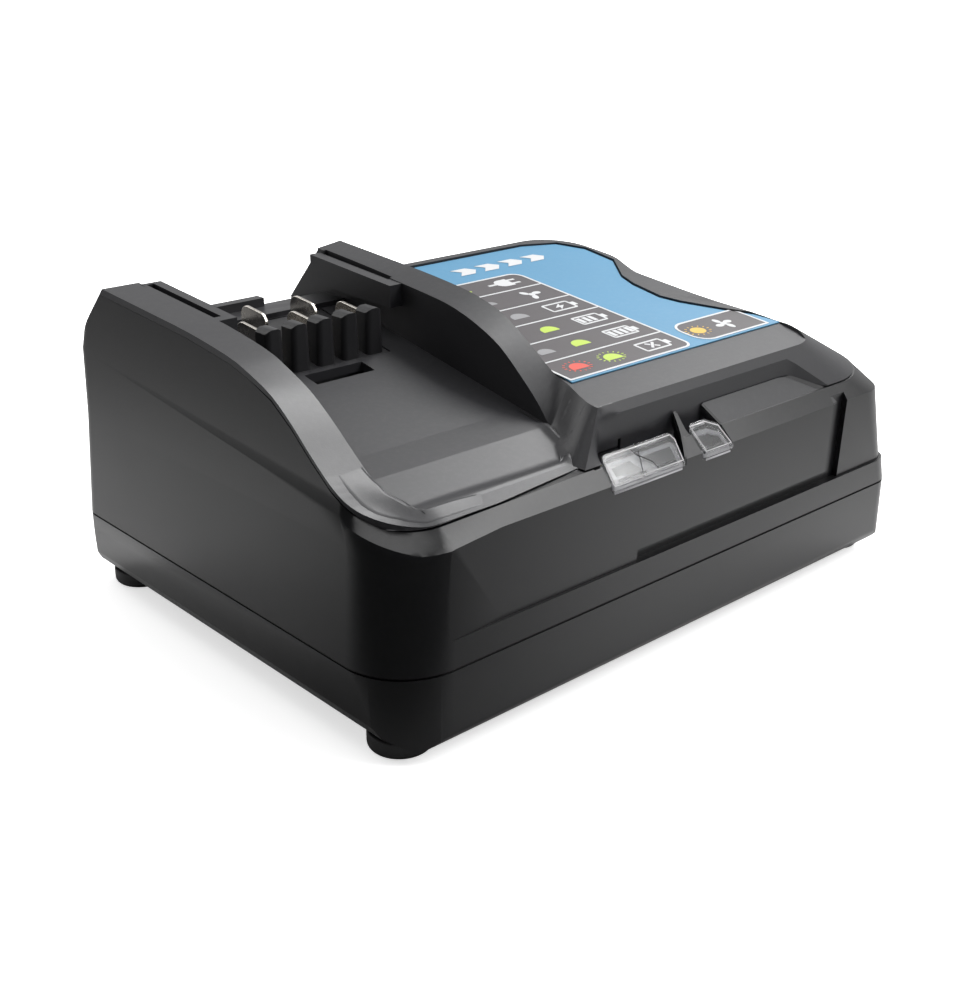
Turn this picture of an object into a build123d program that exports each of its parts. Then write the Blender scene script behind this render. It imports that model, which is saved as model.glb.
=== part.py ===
from build123d import *
import os
from math import cos, pi

# A desk-top charger for slide-in tool battery packs. Millimetres.
# Pieces are drawn from the left front corner of the case: X to the right, Y to the back
# and Z up from the parting plane between the two housings. On export every piece moves so
# that the origin is the centre of the footprint, on the plane that the feet stand on.

# ---- driving dimensions: case ------------------------------------------------------------
CASE_WIDTH = 190.0
CASE_DEPTH = 139.0
BASE_DROP = 19.0            # parting plane down to the underside
FOOT_DROP = 3.5             # underside down to the desk
WALL = 2.4
SEAM_GAP = 0.4              # visible gap between two mouldings
BACK_SEAM_GAP = 0.08        # where the two mouldings close up, along the tall left wall
LEFT_LEAN = 3.3 / 65.0      # draft of each wall, as travel per height
RIGHT_LEAN = 4.0 / 26.0
BACK_LEAN = 2.4 / 47.0
CORNER_FRONT_LEFT = 17.0
CORNER_FRONT_RIGHT = 8.0    # at the parting plane
CORNER_GROWTH = 0.17        # growth of that radius per height
CORNER_BACK = 6.5
PARTING_GROOVE = 0.6        # the fine shadow line round the case
SEAM_SHELF_X = 6.0          # the left wall's seam follows the rim out to here

# ---- driving dimensions: front bevel and seam of the top cover ------------------------------
FACE_TOP = 28.45            # height of the plain front face
LEDGE_HEIGHT = 7.0          # the skirt below this stands proud
LEDGE_STEP = 0.8
LEDGE_START = 15.0          # the step grows from nothing here
LEDGE_FULL = 32.0           # to its full depth here
LEDGE_SPLIT = 80.0
BEVEL_DEPTH = 4.1           # how far the bevel runs back
SEAM_FRONT = 33.4           # height of the cover seam along the front
SEAM_CORNER_LEFT = 15.0
SEAM_CORNER_RIGHT = 20.0
SEAM_RIGHT = CASE_WIDTH - 6.0     # where the seam runs along the right shoulder
SEAM_DIP = 0.6              # how far the seam dips at the left front corner
SEAM_LEVEL_X = 60.0         # and where it is level again
SEAM_LEFT = 1.7
DECK_TILT = 0.107           # rise of the deck per millimetre towards the back
CASE_CEILING = 82.0         # above everything, for cutting

# ---- driving dimensions: deck and label -------------------------------------------------------
DECK_FRONT_Y = 11.4
DECK_FRONT_Z = 45.3
DECK_BACK_Y = CASE_DEPTH - 22.0
DECK_LEFT = 78.0
RIM_HEIGHT = 0.9
DECK_CORNER = 10.5
DECK_BACK_CORNER = 15.0
LABEL_FILM = 0.4
LABEL_FRONT_Y = 24.6
LABEL_CLEARANCE = 0.5

# ---- driving dimensions: battery bay ---------------------------------------------------------
BAY_LEFT = 13.4
BAY_RIGHT = 70.0
BAY_FRONT_Y = 9.4
BAY_CREST_Y = 25.2
BAY_CREST_Z = 37.5
BAY_SLOPE = 0.185           # rise of the bay floor behind the crest
BAY_BACK_Y = CASE_DEPTH - 32.0
BAY_SHELF_Z = 54.0
MOUTH_RIGHT = 58.0          # right end of the front lip
APRON_FRONT_Z = 34.0        # the bay mouth, a step below its front lip
LIP_BACK_Z = 34.6
BAND_BACK_Y = CASE_DEPTH - 19.7
BAND_BACK_Z = 65.6
BACK_SLOPE_Y = CASE_DEPTH - 2.4     # where the back wall turns to slope up to the bands
BACK_SLOPE_Z = 47.0
LEFT_RAIL_REACH = 5.3       # how far each rail overhangs the bay
RIGHT_RAIL_REACH = 4.0
RAIL_DROP = 6.0
RAIL_FRONT_Y = 81.5
RAIL_BACK_Y = 117.5
RAIL_FRONT_Z = 62.7
RAIL_BACK_Z = 65.3
LEFT_SLOT = (13.9, 16.0)    # the groove along each rail, from side to side
RIGHT_SLOT = (69.4, 70.8)
RAIL_SLOT_DEPTH = 4.0

# ---- driving dimensions: terminals ---------------------------------------------------------------
TERMINAL_COUNT = 5
TERMINAL_PITCH = 7.75
BAY_CENTRE_X = 41.6
RIB_WIDTH = 5.6
RIB_FRONT_Y = 76.6
RIB_DEPTH = 5.2
RIB_TOP = 59.2
BLADE_THICK = 0.9
BLADE_LENGTH = 11.6
BLADE_TOP = 57.5            # at the front end of the front row
BLADE_SLOPE = 0.1
FRONT_BLADE_Y = 82.1
REAR_BLADE_Y = 91.8
BLADE_CORNER = 3.0
BLADE_SLOT_CLEARANCE = 0.05
TERMINAL_BASE_BOTTOM = 41.0
TERMINAL_BASE_BACK_Y = 106.4
TERMINAL_MARGIN = 4.4
TERMINAL_BOARD_THICK = 1.6
TERMINAL_BOARD_Z = 36.0
TERMINAL_SCREW_R = 1.1
TERMINAL_SCREW_Y = 99.5
TERMINAL_SCREW_TOP = 46.0
TERMINAL_STANDOFF_R = 2.6

# ---- driving dimensions: floor vent, fan and duct -----------------------------------------------
VENT_WIDTH = 18.0
VENT_DEPTH = 5.5
VENT_Y = 71.7
FAN_SIZE = 40.0
FAN_THICK = 20.0
FAN_Y = 58.0
FAN_LIFT = 4.0              # fan underside above the inside of the base
FAN_BORE_R = 18.6
FAN_BLADE_CLEARANCE = 0.8
FAN_HUB_R = 9.0
FAN_HUB_HEIGHT = 13.0
FAN_BLADES = 7
FAN_BLADE_PITCH = 38.0
FAN_BLADE_THICK = 1.0
FAN_BLADE_CHORD = 12.0
FAN_CUP_WALL = 1.4
FAN_PLATE = 2.0
FAN_STRUTS = 3
FAN_STRUT_WIDTH = 2.6
FAN_CORNER = 2.0
FAN_HEAD_R = 2.3            # heads of the fan screws, sunk in its frame
FAN_HEAD_SINK = 2.0
FAN_SHAFT_R = 1.5
FAN_BEARING_R = 3.4
RUNNING_CLEARANCE = 0.05
FAN_HOLE_PITCH = 32.0
FAN_SCREW_R = 1.6
DUCT_WALL = 1.4
DUCT_TOP_GAP = 0.3
GRILLE_SLOTS = 7
GRILLE_SLOT_WIDTH = 2.6
GRILLE_PITCH = 5.0

# ---- driving dimensions: windows and lenses ------------------------------------------------------
WINDOW_LEFT = 67.0
WINDOW_RIGHT = 144.5
WINDOW_TOP_Y = 9.5
SHELF_SLOPE = 1.06          # the sunk shelf that carries the lenses
SHELF_FRONT_Y = 0.8
TONGUE_RIGHT = CASE_WIDTH - 35.3
TONGUE_BOTTOM = 10.0
GROOVE_WIDTH = 6.3
GROOVE_LEAN = 1.7           # how far right the upright groove leans at its top
GROOVE_TOP = 34.0
GROOVE_DEPTH = 1.6
GROOVE_START = 77.0
LENS_GAP = 0.15
LENS_BACK_Y = 6.0
LENS_THICK = 1.6
LENS_PROUD = 0.5
LENS_ROUND = 1.6
CHARGE_LENS_LEFT = 67.2
CHARGE_LENS_RIGHT = 92.6
FAN_LENS_LEFT = 100.6
FAN_LENS_RIGHT = 111.6
CHARGE_LENS_PLAN = [(67.2, 0.2), (92.6, 0.2), (94.0, 6.0), (68.0, 6.0)]
FAN_LENS_PLAN = [(100.8, 0.2), (111.6, 0.2), (110.4, 4.8), (106.4, 6.3), (99.4, 6.3)]
CHARGE_POCKET = [(66.9, -1), (93.0, -1), (97.4, 9.1), (68.8, 9.1), (66.9, 4.0)]
FAN_POCKET = [(100.4, -1), (112.2, -1), (110.8, 5.2), (108.6, 9.1), (99.2, 9.1), (98.9, 6.0)]
FIN = [(93.5, 0.9), (96.4, 5.0), (98.0, 9.0)]         # thin rib between the two windows
FIN_WIDTH = 0.8
FIN_HEIGHT = 0.7
POCKET_BACK_Z = 31.0

# ---- driving dimensions: inside ---------------------------------------------------------------
BOARD_THICK = 1.6
BOARD_LIFT = 6.0            # board underside above the inside of the base
BOARD_LEFT = 70.0
BOARD_RIGHT = CASE_WIDTH - 21.0
BOARD_FRONT = 3.4
BOARD_BACK = CASE_DEPTH - 11.0
BOARD_SCREW_R = 1.5
TRANSFORMER_AT = (126.0, 62.0)
CORE_WIDTH = 38.0
CORE_DEPTH = 24.0
CORE_HEIGHT = 30.0
CORE_SIDE_LEG = 5.0
CORE_CENTRE_LEG = 10.0
WINDING_GAP = 0.4
WINDING_BULGE = 5.0
SINKS = [(120.0, 92.0, 60.0), (120.0, 26.0, 44.0)]     # centre and length of each plate
SINK_PLATE = 3.0
SINK_HEIGHT = 34.0
SINK_FIN = 7.0
SINK_FIN_THICK = 1.6
SINK_FIN_PITCH = 5.0
PACKAGE_WIDTH = 10.4
PACKAGE_THICK = 4.6
PACKAGE_HEIGHT = 17.0
BULK_AT = (156.0, 76.0)
BULK_R = 10.0
BULK_HEIGHT = 32.0
CAN_ROUND = 1.2
OUTPUT_CAP_X = 88.0
OUTPUT_CAP_Y = (52.0, 66.0, 80.0)
OUTPUT_CAP_R = 5.0
OUTPUT_CAP_HEIGHT = 20.0
CHOKE_AT = (156.5, 46.0)
CHOKE_R = 10.5
CHOKE_BORE_R = 4.5
CHOKE_HEIGHT = 10.0
BRIDGE_AT = (158.0, 100.0)
BRIDGE_WIDTH = 18.0
BRIDGE_DEPTH = 5.0
BRIDGE_HEIGHT = 15.0
FUSE_AT = (110.0, 116.0)
FUSE_R = 2.6
FUSE_LENGTH = 20.0
BOSS_R = 3.6
BASE_BOSS_R = 5.4           # the base's screw posts, wide enough for a sunk head
CASE_SCREW_R = 1.75
CASE_SCREW_HEAD_R = 3.3
SCREW_CLEARANCE = 0.3       # hole that a screw passes through freely
SCREW_FIT = 0.05            # hole that a screw cuts its thread in
FOOT_R = 7.8
FOOT_INSET_LEFT = 11.5
FOOT_INSET_RIGHT = 10.0
FOOT_INSET_FRONT = 12.6
FOOT_INSET_BACK = 8.9
FOOT_STEM_R = 3.0
FOOT_RECESS = 1.0
FOOT_ROUND = 1.6
SCREW_BOSS_BOTTOM = 0.0     # where base posts meet the cover's bosses
SCREW_HEAD_SEAT = -11.0
SCREW_THREAD_TOP = 14.0
LED_HEIGHT = 3.0
LED_GAP = 0.3
GUIDE_BRIDGE_Z = 12.0
GUIDE_TOP = 27.5
GLAND_R = 6.0               # outside of the gland barrel
GLAND_BORE_R = 3.3
GLAND_FLANGE_R = 8.5
GLAND_X = CASE_WIDTH - 40.0
GLAND_Z = 9.0
GLAND_FIT = 0.1
GLAND_INNER_Y = CASE_DEPTH - 19.0
GLAND_OUTER_Y = CASE_DEPTH - 0.6
GLAND_FLANGE_Y = CASE_DEPTH - 6.7
GLAND_FLANGE_THICK = 3.0
KEYHOLE_SPACING = 100.0
KEYHOLE_ENTRY_R = 4.5
KEYHOLE_NECK = 4.6
KEYHOLE_TRAVEL = 9.0
KEYHOLE_Y = 96.0

FOOT_PLANE = -(BASE_DROP + FOOT_DROP)
INSIDE_FLOOR = -BASE_DROP + WALL
FAN_X = BAY_CENTRE_X
TO_CENTRE = Pos(-CASE_WIDTH / 2, -CASE_DEPTH / 2, -FOOT_PLANE)

# The rim round the bay as cross-sections, each from its outer to its inner top edge: down the
# left wall, round the front corner and along the lip.
LEFT_RIM = [((-1, 134, 66.3), (13.4, 134, 66.3)), ((-1, 98, 63.9), (13.4, 98, 63.9)),
            ((-1, 79, 62.7), (13.4, 79, 62.6)), ((-1, 61, 60.7), (13.4, 61, 60.0)),
            ((-1, 52.5, 58.8), (13.4, 52.5, 57.4)), ((-1, 44, 56.0), (13.4, 44, 53.9)),
            ((-1, 36.5, 51.5), (13.4, 36.5, 49.2)), ((-1, 29, 45.9), (13.4, 29, 43.7)),
            ((-1, 22, 41.2), (13.4, 22, 38.9)), ((-0.2, 15, 37.8), (13.8, 17, 36.9)),
            ((2, 8.6, 35.6), (14.5, 13.5, 36.0)), ((6, 4.4, 34.2), (15.6, 10.8, 35.2)),
            ((12, 2.6, 33.2), (17.4, 9.4, 34.8)), ((20, 2.4, 33.1), (22, 9.4, 34.8)),
            ((40, 2.4, 33.1), (40, 9.4, 34.8)), ((66, 2.4, 33.1), (58, 9.4, 34.8))]
# The wall between bay and deck, from the back to where it spreads into the front facet.
MID_RIM = [((78, 134, 68.3), (70, 134, 67.3)), ((78, 104, 66.2), (70, 104, 65.0)),
           ((78, 83, 64.7), (70, 83, 63.0)), ((78, 67, 63.1), (70, 66, 61.2)),
           ((78, 58.5, 61.6), (70, 58, 59.6)), ((78, 50.8, 59.3), (70, 50.3, 57.1)),
           ((78, 44, 55.6), (70, 42.8, 53.6)), ((78, 37, 51.0), (70, 35.5, 48.0)),
           ((77.5, 31, 47.8), (70, 29, 42.2)), ((76.1, 25.1, 46.8), (69.2, 23.6, 37.0)),
           ((73.8, 19.4, 46.2), (66.6, 19.2, 35.9)), ((72.2, 15.0, 45.7), (62.8, 13.6, 35.1)),
           ((71.6, 12.2, 45.4), (60.6, 8.6, 34.3)), ((71.8, 10.6, 45.2), (61.0, 4.1, 33.3))]
RIM_STEPS = 3               # intermediate cross-sections between two given ones
RIM_FOOT_Z = 20.0
# Side view of the seam that runs up the left wall, front to back.
LEFT_SEAM = [(-5, 32.8), (4, 32.9), (9.5, 33.7), (15, 36.0), (22, 39.3), (29, 44.0), (36.5, 49.6),
             (44, 54.1), (52.5, 57.0), (61, 58.9), (79, 61.0), (98, 62.2), (145, 65.0)]
SEAM_OPEN_COUNT = 8         # its first points, where the seam stands open
# Plan of the label well from its front right end round to the back, and the crest of the
# right shoulder outside it. Both are given in from the right wall at the parting plane.
WELL_INSET = [(35.0, 9.0), (30.5, 17.5), (28.4, 26.0), (29.8, 32.5), (35.6, 41.0),
              (41.1, 50.8), (43.0, 57.0), (41.3, 69.0), (38.6, 76.2), (29.0, 88.6),
              (27.8, 102.0), (32.5, 110.6), (45.0, 114.4), (54.0, 114.6)]
SHOULDER_INSET = [(29.5, 22.0), (30.0, 31.0), (31.8, 44.0), (32.6, 58.0), (32.6, 70.0),
                  (32.4, 77.0), (27.4, 88.5), (26.6, 102.0)]
WELL_RIGHT = [(CASE_WIDTH - inset, y) for inset, y in WELL_INSET]
SHOULDER_CREST = [(CASE_WIDTH - inset, y) for inset, y in SHOULDER_INSET]


# ---- small drawing helpers -----------------------------------------------------------------------
def block(x0, x1, y0, y1, z0, z1):
    return Pos((x0 + x1) / 2, (y0 + y1) / 2, (z0 + z1) / 2) * Box(x1 - x0, y1 - y0, z1 - z0)


def post(x, y, z0, z1, radius):
    return Pos(x, y, (z0 + z1) / 2) * Cylinder(radius, z1 - z0)


def barrel(x, y0, y1, z, radius):
    return Pos(x, (y0 + y1) / 2, z) * Rot(90, 0, 0) * Cylinder(radius, y1 - y0)


def ring(x, y, z0, z1, outer, inner):
    return post(x, y, z0, z1, outer) - post(x, y, z0 - 1, z1 + 1, inner)


def polygon(points):
    return Face(Wire.make_polygon([Vector(*p) for p in points], close=True))


def prism(points, amount, direction):
    """Polygon extruded along a direction, whichever way round its points are given."""
    face = polygon(points)
    if face.normal_at().dot(Vector(*direction)) < 0:
        face = polygon(points[::-1])
    return extrude(face, amount=amount, dir=direction)


def prism_x(points, x0, x1):
    """Side-view polygon of (y, z) points, extruded across the case."""
    return prism([(x0, y, z) for y, z in points], x1 - x0, (1, 0, 0))


def prism_y(points, y0, y1):
    """Front-view polygon of (x, z) points, extruded along the case."""
    return prism([(x, y0, z) for x, z in points], y1 - y0, (0, 1, 0))


def prism_z(points, z0, z1):
    """Plan polygon of (x, y) points, extruded upwards."""
    return prism([(x, y, z0) for x, y in points], z1 - z0, (0, 0, 1))


def deck_height(y):
    return DECK_FRONT_Z + DECK_TILT * (y - DECK_FRONT_Y)


def seam_height(y):
    return SEAM_FRONT + DECK_TILT * (y - BEVEL_DEPTH)


def shelf_height(y):
    return FACE_TOP + SHELF_SLOPE * y


def bay_floor(y):
    return BAY_CREST_Z + BAY_SLOPE * (y - BAY_CREST_Y)


def plan_face(x0, x1, y0, y1, radii, height):
    """Rounded rectangle with its own radius at each corner, laid on a sloping plane."""
    front_left, front_right, back_right, back_left = radii

    def at(x, y):
        return Vector(x, y, height(y))

    def corner(x, y, radius, to_x, to_y, from_x, from_y):
        mid = radius * (1 - cos(pi / 4))
        start = at(x + from_x * radius, y + from_y * radius)
        end = at(x + to_x * radius, y + to_y * radius)
        return ThreePointArc(start, at(x + (from_x + to_x) * mid, y + (from_y + to_y) * mid), end)

    edges = [
        Line(at(x0 + front_left, y0), at(x1 - front_right, y0)),
        corner(x1, y0, front_right, 0, 1, -1, 0),
        Line(at(x1, y0 + front_right), at(x1, y1 - back_right)),
        corner(x1, y1, back_right, -1, 0, 0, -1),
        Line(at(x1 - back_right, y1), at(x0 + back_left, y1)),
        corner(x0, y1, back_left, 0, -1, 1, 0),
        Line(at(x0, y1 - back_left), at(x0, y0 + front_left)),
        corner(x0, y0, front_left, 1, 0, 0, 1),
    ]
    return Face(Wire([edge.edge() for edge in edges]))


def wall_face(z, inset):
    """Plan of the case walls at a height, drafted and moved inward by inset."""
    front_right = CORNER_FRONT_RIGHT + CORNER_GROWTH * max(z, 0)
    radii = [max(r - inset, 1.0) for r in
             (CORNER_FRONT_LEFT, front_right, CORNER_BACK, CORNER_BACK)]
    return plan_face(LEFT_LEAN * z + inset, CASE_WIDTH - RIGHT_LEAN * z - inset, inset,
                     CASE_DEPTH - BACK_LEAN * z - inset, radii, lambda y: z)


def seam_face():
    """Plan along the sloping seam between the upper housing and the top cover."""
    radii = (SEAM_CORNER_LEFT, SEAM_CORNER_RIGHT, CORNER_BACK, CORNER_BACK)
    return plan_face(SEAM_LEFT, SEAM_RIGHT, BEVEL_DEPTH, SEAM_BACK, radii, seam_height)


def ceiling_face():
    radii = (SEAM_CORNER_LEFT, SEAM_CORNER_RIGHT, CORNER_BACK, CORNER_BACK)
    return plan_face(LEFT_LEAN * CASE_CEILING, SEAM_RIGHT, BEVEL_DEPTH, BAND_BACK_Y + 8, radii,
                     lambda y: CASE_CEILING)


SEAM_BACK = CASE_DEPTH - BACK_LEAN * seam_height(CASE_DEPTH - 8)


# ---- the envelope of the upper half, shared by both upper mouldings ---------------------------
def wall_envelope():
    walls = loft([wall_face(0, 0), wall_face(FACE_TOP, 0)], ruled=True)
    bevel = loft([wall_face(FACE_TOP, 0), seam_face()], ruled=True)
    above = loft([seam_face(), ceiling_face()], ruled=True)
    return walls + bevel + above


def eased(points):
    """Points of a smooth curve through the given ones (Catmull-Rom), RIM_STEPS for each."""
    points = [Vector(*p) for p in points]
    padded = [points[0] * 2 - points[1]] + points + [points[-1] * 2 - points[-2]]
    curve = []
    for a, b, c, d in zip(padded, padded[1:], padded[2:], padded[3:]):
        for n in range(RIM_STEPS):
            t = n / RIM_STEPS
            curve.append((b * 2 + (c - a) * t + (a * 2 - b * 5 + c * 4 - d) * t ** 2
                          + (b * 3 - a - c * 3 + d) * t ** 3) * 0.5)
    return [(p.X, p.Y, p.Z) for p in curve + [points[-1]]]


def rim(sections):
    """Solid under a rim, through its cross-sections."""
    faces = []
    outers, inners = [eased(points) for points in zip(*sections)]
    for outer, inner in zip(outers, inners):
        foot_inner = (inner[0], inner[1], RIM_FOOT_Z)
        foot_outer = (outer[0], outer[1], RIM_FOOT_Z)
        faces.append(polygon([outer, inner, foot_inner, foot_outer]))
    return loft(faces, ruled=True)


def back_limit(lower):
    """Side view that trims the tall walls with the slanted back of the case."""
    outline = [(-5, 0), (CASE_DEPTH, 0), (CASE_DEPTH, 20), (BACK_SLOPE_Y - lower, BACK_SLOPE_Z),
               (BAND_BACK_Y - lower, BAND_BACK_Z), (BAND_BACK_Y - lower, CASE_CEILING),
               (-5, CASE_CEILING)]
    return prism_x(outline, -5, CASE_WIDTH + 5)


def bay_profile():
    """Side view of the front lip, the bay floor and the shelf behind the terminals."""
    return [(BAY_FRONT_Y, APRON_FRONT_Z), (BAY_CREST_Y, BAY_CREST_Z),
            (BAY_BACK_Y, bay_floor(BAY_BACK_Y)), (BAY_BACK_Y, BAY_SHELF_Z), (DECK_BACK_Y, BAY_SHELF_Z),
            (BACK_SLOPE_Y - 3, BACK_SLOPE_Z)]


def bay_bed():
    lip = [(-3, 0), (-3, 31.4), (4, 33.1), (BAY_FRONT_Y, LIP_BACK_Z), (BAY_CREST_Y, BAY_CREST_Z)]
    return prism_x(lip + bay_profile()[2:] + [(CASE_DEPTH, 30), (CASE_DEPTH, 0)], 0, DECK_LEFT)


def deck_outline(crest, y_front, y_back, height, front_corner, back_corner):
    """Deck outline: straight left side, rounded right corners, given right side."""
    def at(x, y):
        return Vector(x, y, height(y))

    front_lean = front_corner * (1 - cos(pi / 4))
    back_lean = back_corner * (1 - cos(pi / 4))
    first_x, last_x = crest[0][0], crest[-1][0]
    right = [(first_x, y_front + front_corner)] + crest[1:-1] + [(last_x, y_back - back_corner)]
    points = [at(x, y) for x, y in right]
    along = [(0, 1, DECK_TILT), (0, 1, DECK_TILT)]
    side = Spline(points, tangents=along) if crest[1:-1] else Line(*points)
    edges = [
        Line(at(MOUTH_RIGHT, y_front), at(first_x - front_corner, y_front)),
        ThreePointArc(at(first_x - front_corner, y_front),
                      at(first_x - front_lean, y_front + front_lean), points[0]),
        side,
        ThreePointArc(points[-1], at(last_x - back_lean, y_back - back_lean),
                      at(last_x - back_corner, y_back)),
        Line(at(last_x - back_corner, y_back), at(MOUTH_RIGHT, y_back)),
        Line(at(MOUTH_RIGHT, y_back), at(MOUTH_RIGHT, y_front)),
    ]
    return Face(Wire([edge.edge() for edge in edges]))


def deck_bed():
    """Solid under the deck, with its front facet and the right shoulder."""
    low = deck_outline([(SEAM_RIGHT, 0), (SEAM_RIGHT, 0)], BEVEL_DEPTH, SEAM_BACK, seam_height,
                       SEAM_CORNER_RIGHT, SEAM_CORNER_RIGHT)
    high = deck_outline(SHOULDER_CREST, DECK_FRONT_Y, DECK_BACK_Y,
                        lambda y: deck_height(y) + RIM_HEIGHT, DECK_CORNER, DECK_BACK_CORNER)
    return loft([low, high], ruled=True)


def deck_left_trim():
    """Everything left of the slanting edge where the deck meets the bay wall."""
    outline = [point[:2] for point in eased([outer for outer, _ in MID_RIM])]
    mouth = MID_RIM[-1][1][:2]
    return prism_z([(0, CASE_DEPTH), (0, 0), (mouth[0], 0), mouth] + outline[::-1], 0, CASE_CEILING)


def upper_envelope():
    """The whole upper half as one solid."""
    bands = (rim(LEFT_RIM) + rim(MID_RIM)) & back_limit(0)
    deck = deck_bed() - deck_left_trim() - label_well()
    under_seam = [(0, 0), (0, seam_height(0)), (CASE_DEPTH, seam_height(CASE_DEPTH)), (CASE_DEPTH, 0)]
    walls = wall_envelope()
    body = walls & block(0, CASE_WIDTH, 0, CASE_DEPTH, 0, FACE_TOP)
    for part in (bay_bed(), prism_x(under_seam, BAY_RIGHT, CASE_WIDTH), deck, bands):
        body = body + (walls & part)
    return body - apron_pocket()


def upper_cavity():
    """The hollow inside the upper half, a wall thickness in from every outer surface."""
    steep = WALL * 1.3          # the same thickness measured straight down a slope
    low_z = 20.0
    walls = loft([wall_face(-1, WALL), wall_face(70, WALL)], ruled=True)
    bay = [(WALL, -1), (WALL, FACE_TOP - steep), (BEVEL_DEPTH + 1, FACE_TOP)]
    bay += [(y, z - WALL) for y, z in bay_profile()[:2]]
    bay += [(BAY_BACK_Y - WALL, bay_floor(BAY_BACK_Y - WALL) - WALL)]
    bay += [(BAY_BACK_Y - WALL, BAY_SHELF_Z - WALL), (DECK_BACK_Y - 1, BAY_SHELF_Z - WALL),
            (BACK_SLOPE_Y - WALL, BACK_SLOPE_Z - WALL), (CASE_DEPTH, low_z), (CASE_DEPTH, -1)]
    base = block(0, CASE_WIDTH, 0, CASE_DEPTH, -1, FACE_TOP - steep)

    def under_rim(sections, x0, x1):
        top = [(inner[1], inner[2] - steep) for _, inner in sections][::-1]
        return prism_x([(top[0][0], low_z)] + top + [(top[-1][0], low_z)], x0, x1)

    bands = under_rim(LEFT_RIM[:9], 0, BAY_LEFT - WALL)
    bands += under_rim(MID_RIM[:8], BAY_RIGHT + WALL, DECK_LEFT + 1)
    bands = bands & back_limit(WALL * 1.35)

    def deck_level(right, y_front, y_back, corner, height):
        return polygon([(x, y, height(y)) for x, y in
                        ((DECK_LEFT, y_front), (right - corner, y_front),
                         (right, y_front + corner), (right, y_back), (DECK_LEFT, y_back))])

    seam_level = (SEAM_RIGHT - WALL, BEVEL_DEPTH + WALL, SEAM_BACK - WALL, SEAM_CORNER_RIGHT)
    crest = min(x for x, _ in SHOULDER_CREST) - WALL
    deck = loft([deck_level(*seam_level, lambda y: low_z),
                 deck_level(*seam_level, lambda y: seam_height(y) - WALL),
                 deck_level(crest, DECK_FRONT_Y + WALL, DECK_BACK_Y - WALL, DECK_CORNER,
                            lambda y: deck_height(y) - WALL)], ruled=True)
    return walls & (base + prism_x(bay, 0, DECK_LEFT + 2) + bands + deck)


def apron_pocket():
    """The shallow tray at the mouth of the bay."""
    outline = [(BAY_LEFT + 0.2, BAY_CREST_Y + 0.2), (BAY_LEFT + 0.2, 17.5), (15.0, 12.0),
               (17.0, BAY_FRONT_Y), (MOUTH_RIGHT - 0.5, BAY_FRONT_Y), (MOUTH_RIGHT + 2, 11.0), (66.5, 19.5),
               (BAY_RIGHT - 0.4, BAY_CREST_Y + 0.2)]
    above = [(BAY_FRONT_Y - 1, APRON_FRONT_Z - 0.26), (BAY_CREST_Y + 1, BAY_CREST_Z + 0.26),
             (BAY_CREST_Y + 1, 60), (BAY_FRONT_Y - 1, 60)]
    return prism_z(outline, 20, 60) & prism_x(above, 0, BAY_RIGHT + 2)


def label_well():
    """Cuts the deck down to its plane inside the raised rim."""
    outline = [(BAY_RIGHT - 12, 0), (WELL_RIGHT[0][0], 0)] + WELL_RIGHT
    outline += [(BAY_RIGHT - 12, WELL_RIGHT[-1][1])]
    above = [(-5, deck_height(-5)), (CASE_DEPTH, deck_height(CASE_DEPTH)),
             (CASE_DEPTH, CASE_CEILING), (-5, CASE_CEILING)]
    return prism_z(outline, 20, CASE_CEILING) & prism_x(above, 0, CASE_WIDTH)


# ---- the two upper mouldings --------------------------------------------------------------------
def cover_zone(raise_by):
    """Space that belongs to the top cover, above the seam."""
    left = [(y, z + raise_by) for y, z in LEFT_SEAM[:SEAM_OPEN_COUNT]]
    left += [(y, z + min(raise_by, BACK_SEAM_GAP)) for y, z in LEFT_SEAM[SEAM_OPEN_COUNT:]]
    left += [(LEFT_SEAM[-1][0], CASE_CEILING), (LEFT_SEAM[0][0], CASE_CEILING)]

    def rest(x, dip):
        ends = (LEFT_SEAM[0][0], LEFT_SEAM[-1][0])
        low = [(x, y, seam_height(y) + raise_by - dip) for y in ends]
        return polygon(low + [(x, y, CASE_CEILING) for y in ends[::-1]])

    dipping = loft([rest(SEAM_SHELF_X, SEAM_DIP), rest(SEAM_LEVEL_X, 0)], ruled=True)
    level = loft([rest(SEAM_LEVEL_X, 0), rest(CASE_WIDTH + 5, 0)], ruled=True)
    return prism_x(left, -5, SEAM_SHELF_X) + dipping + level


def window_outline():
    """Plan of the window recess; its right end slants forward to the upright groove."""
    right = TONGUE_RIGHT + GROOVE_WIDTH + GROOVE_LEAN - 0.4
    return [(WINDOW_LEFT, -3), (right, -3), (right, 2.4), (WINDOW_RIGHT + 3, WINDOW_TOP_Y - 1.0),
            (WINDOW_RIGHT, WINDOW_TOP_Y), (WINDOW_LEFT + 4.2, WINDOW_TOP_Y),
            (WINDOW_LEFT + 2.2, WINDOW_TOP_Y - 0.9), (WINDOW_LEFT, BEVEL_DEPTH)]


def rails():
    """Overhanging guide rails at the back of the bay, that a pack slides under."""
    side = [(RAIL_FRONT_Y, RAIL_FRONT_Z), (RAIL_BACK_Y, RAIL_BACK_Z),
            (RAIL_BACK_Y, RAIL_BACK_Z - RAIL_DROP - 2.0), (RAIL_FRONT_Y, RAIL_FRONT_Z - RAIL_DROP)]
    left = prism_x(side, BAY_LEFT - 0.5, BAY_LEFT + LEFT_RAIL_REACH)
    right = prism_x(side, BAY_RIGHT - RIGHT_RAIL_REACH, BAY_RIGHT + 0.5)
    return left + right


def rail_slots():
    bottom = RAIL_FRONT_Z - RAIL_SLOT_DEPTH
    slots = block(*LEFT_SLOT, RAIL_FRONT_Y + 2.8, RAIL_BACK_Y - 1.2, bottom, CASE_CEILING)
    return slots + block(*RIGHT_SLOT, RAIL_FRONT_Y + 5, RAIL_BACK_Y - 1.2, bottom, CASE_CEILING)


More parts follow.
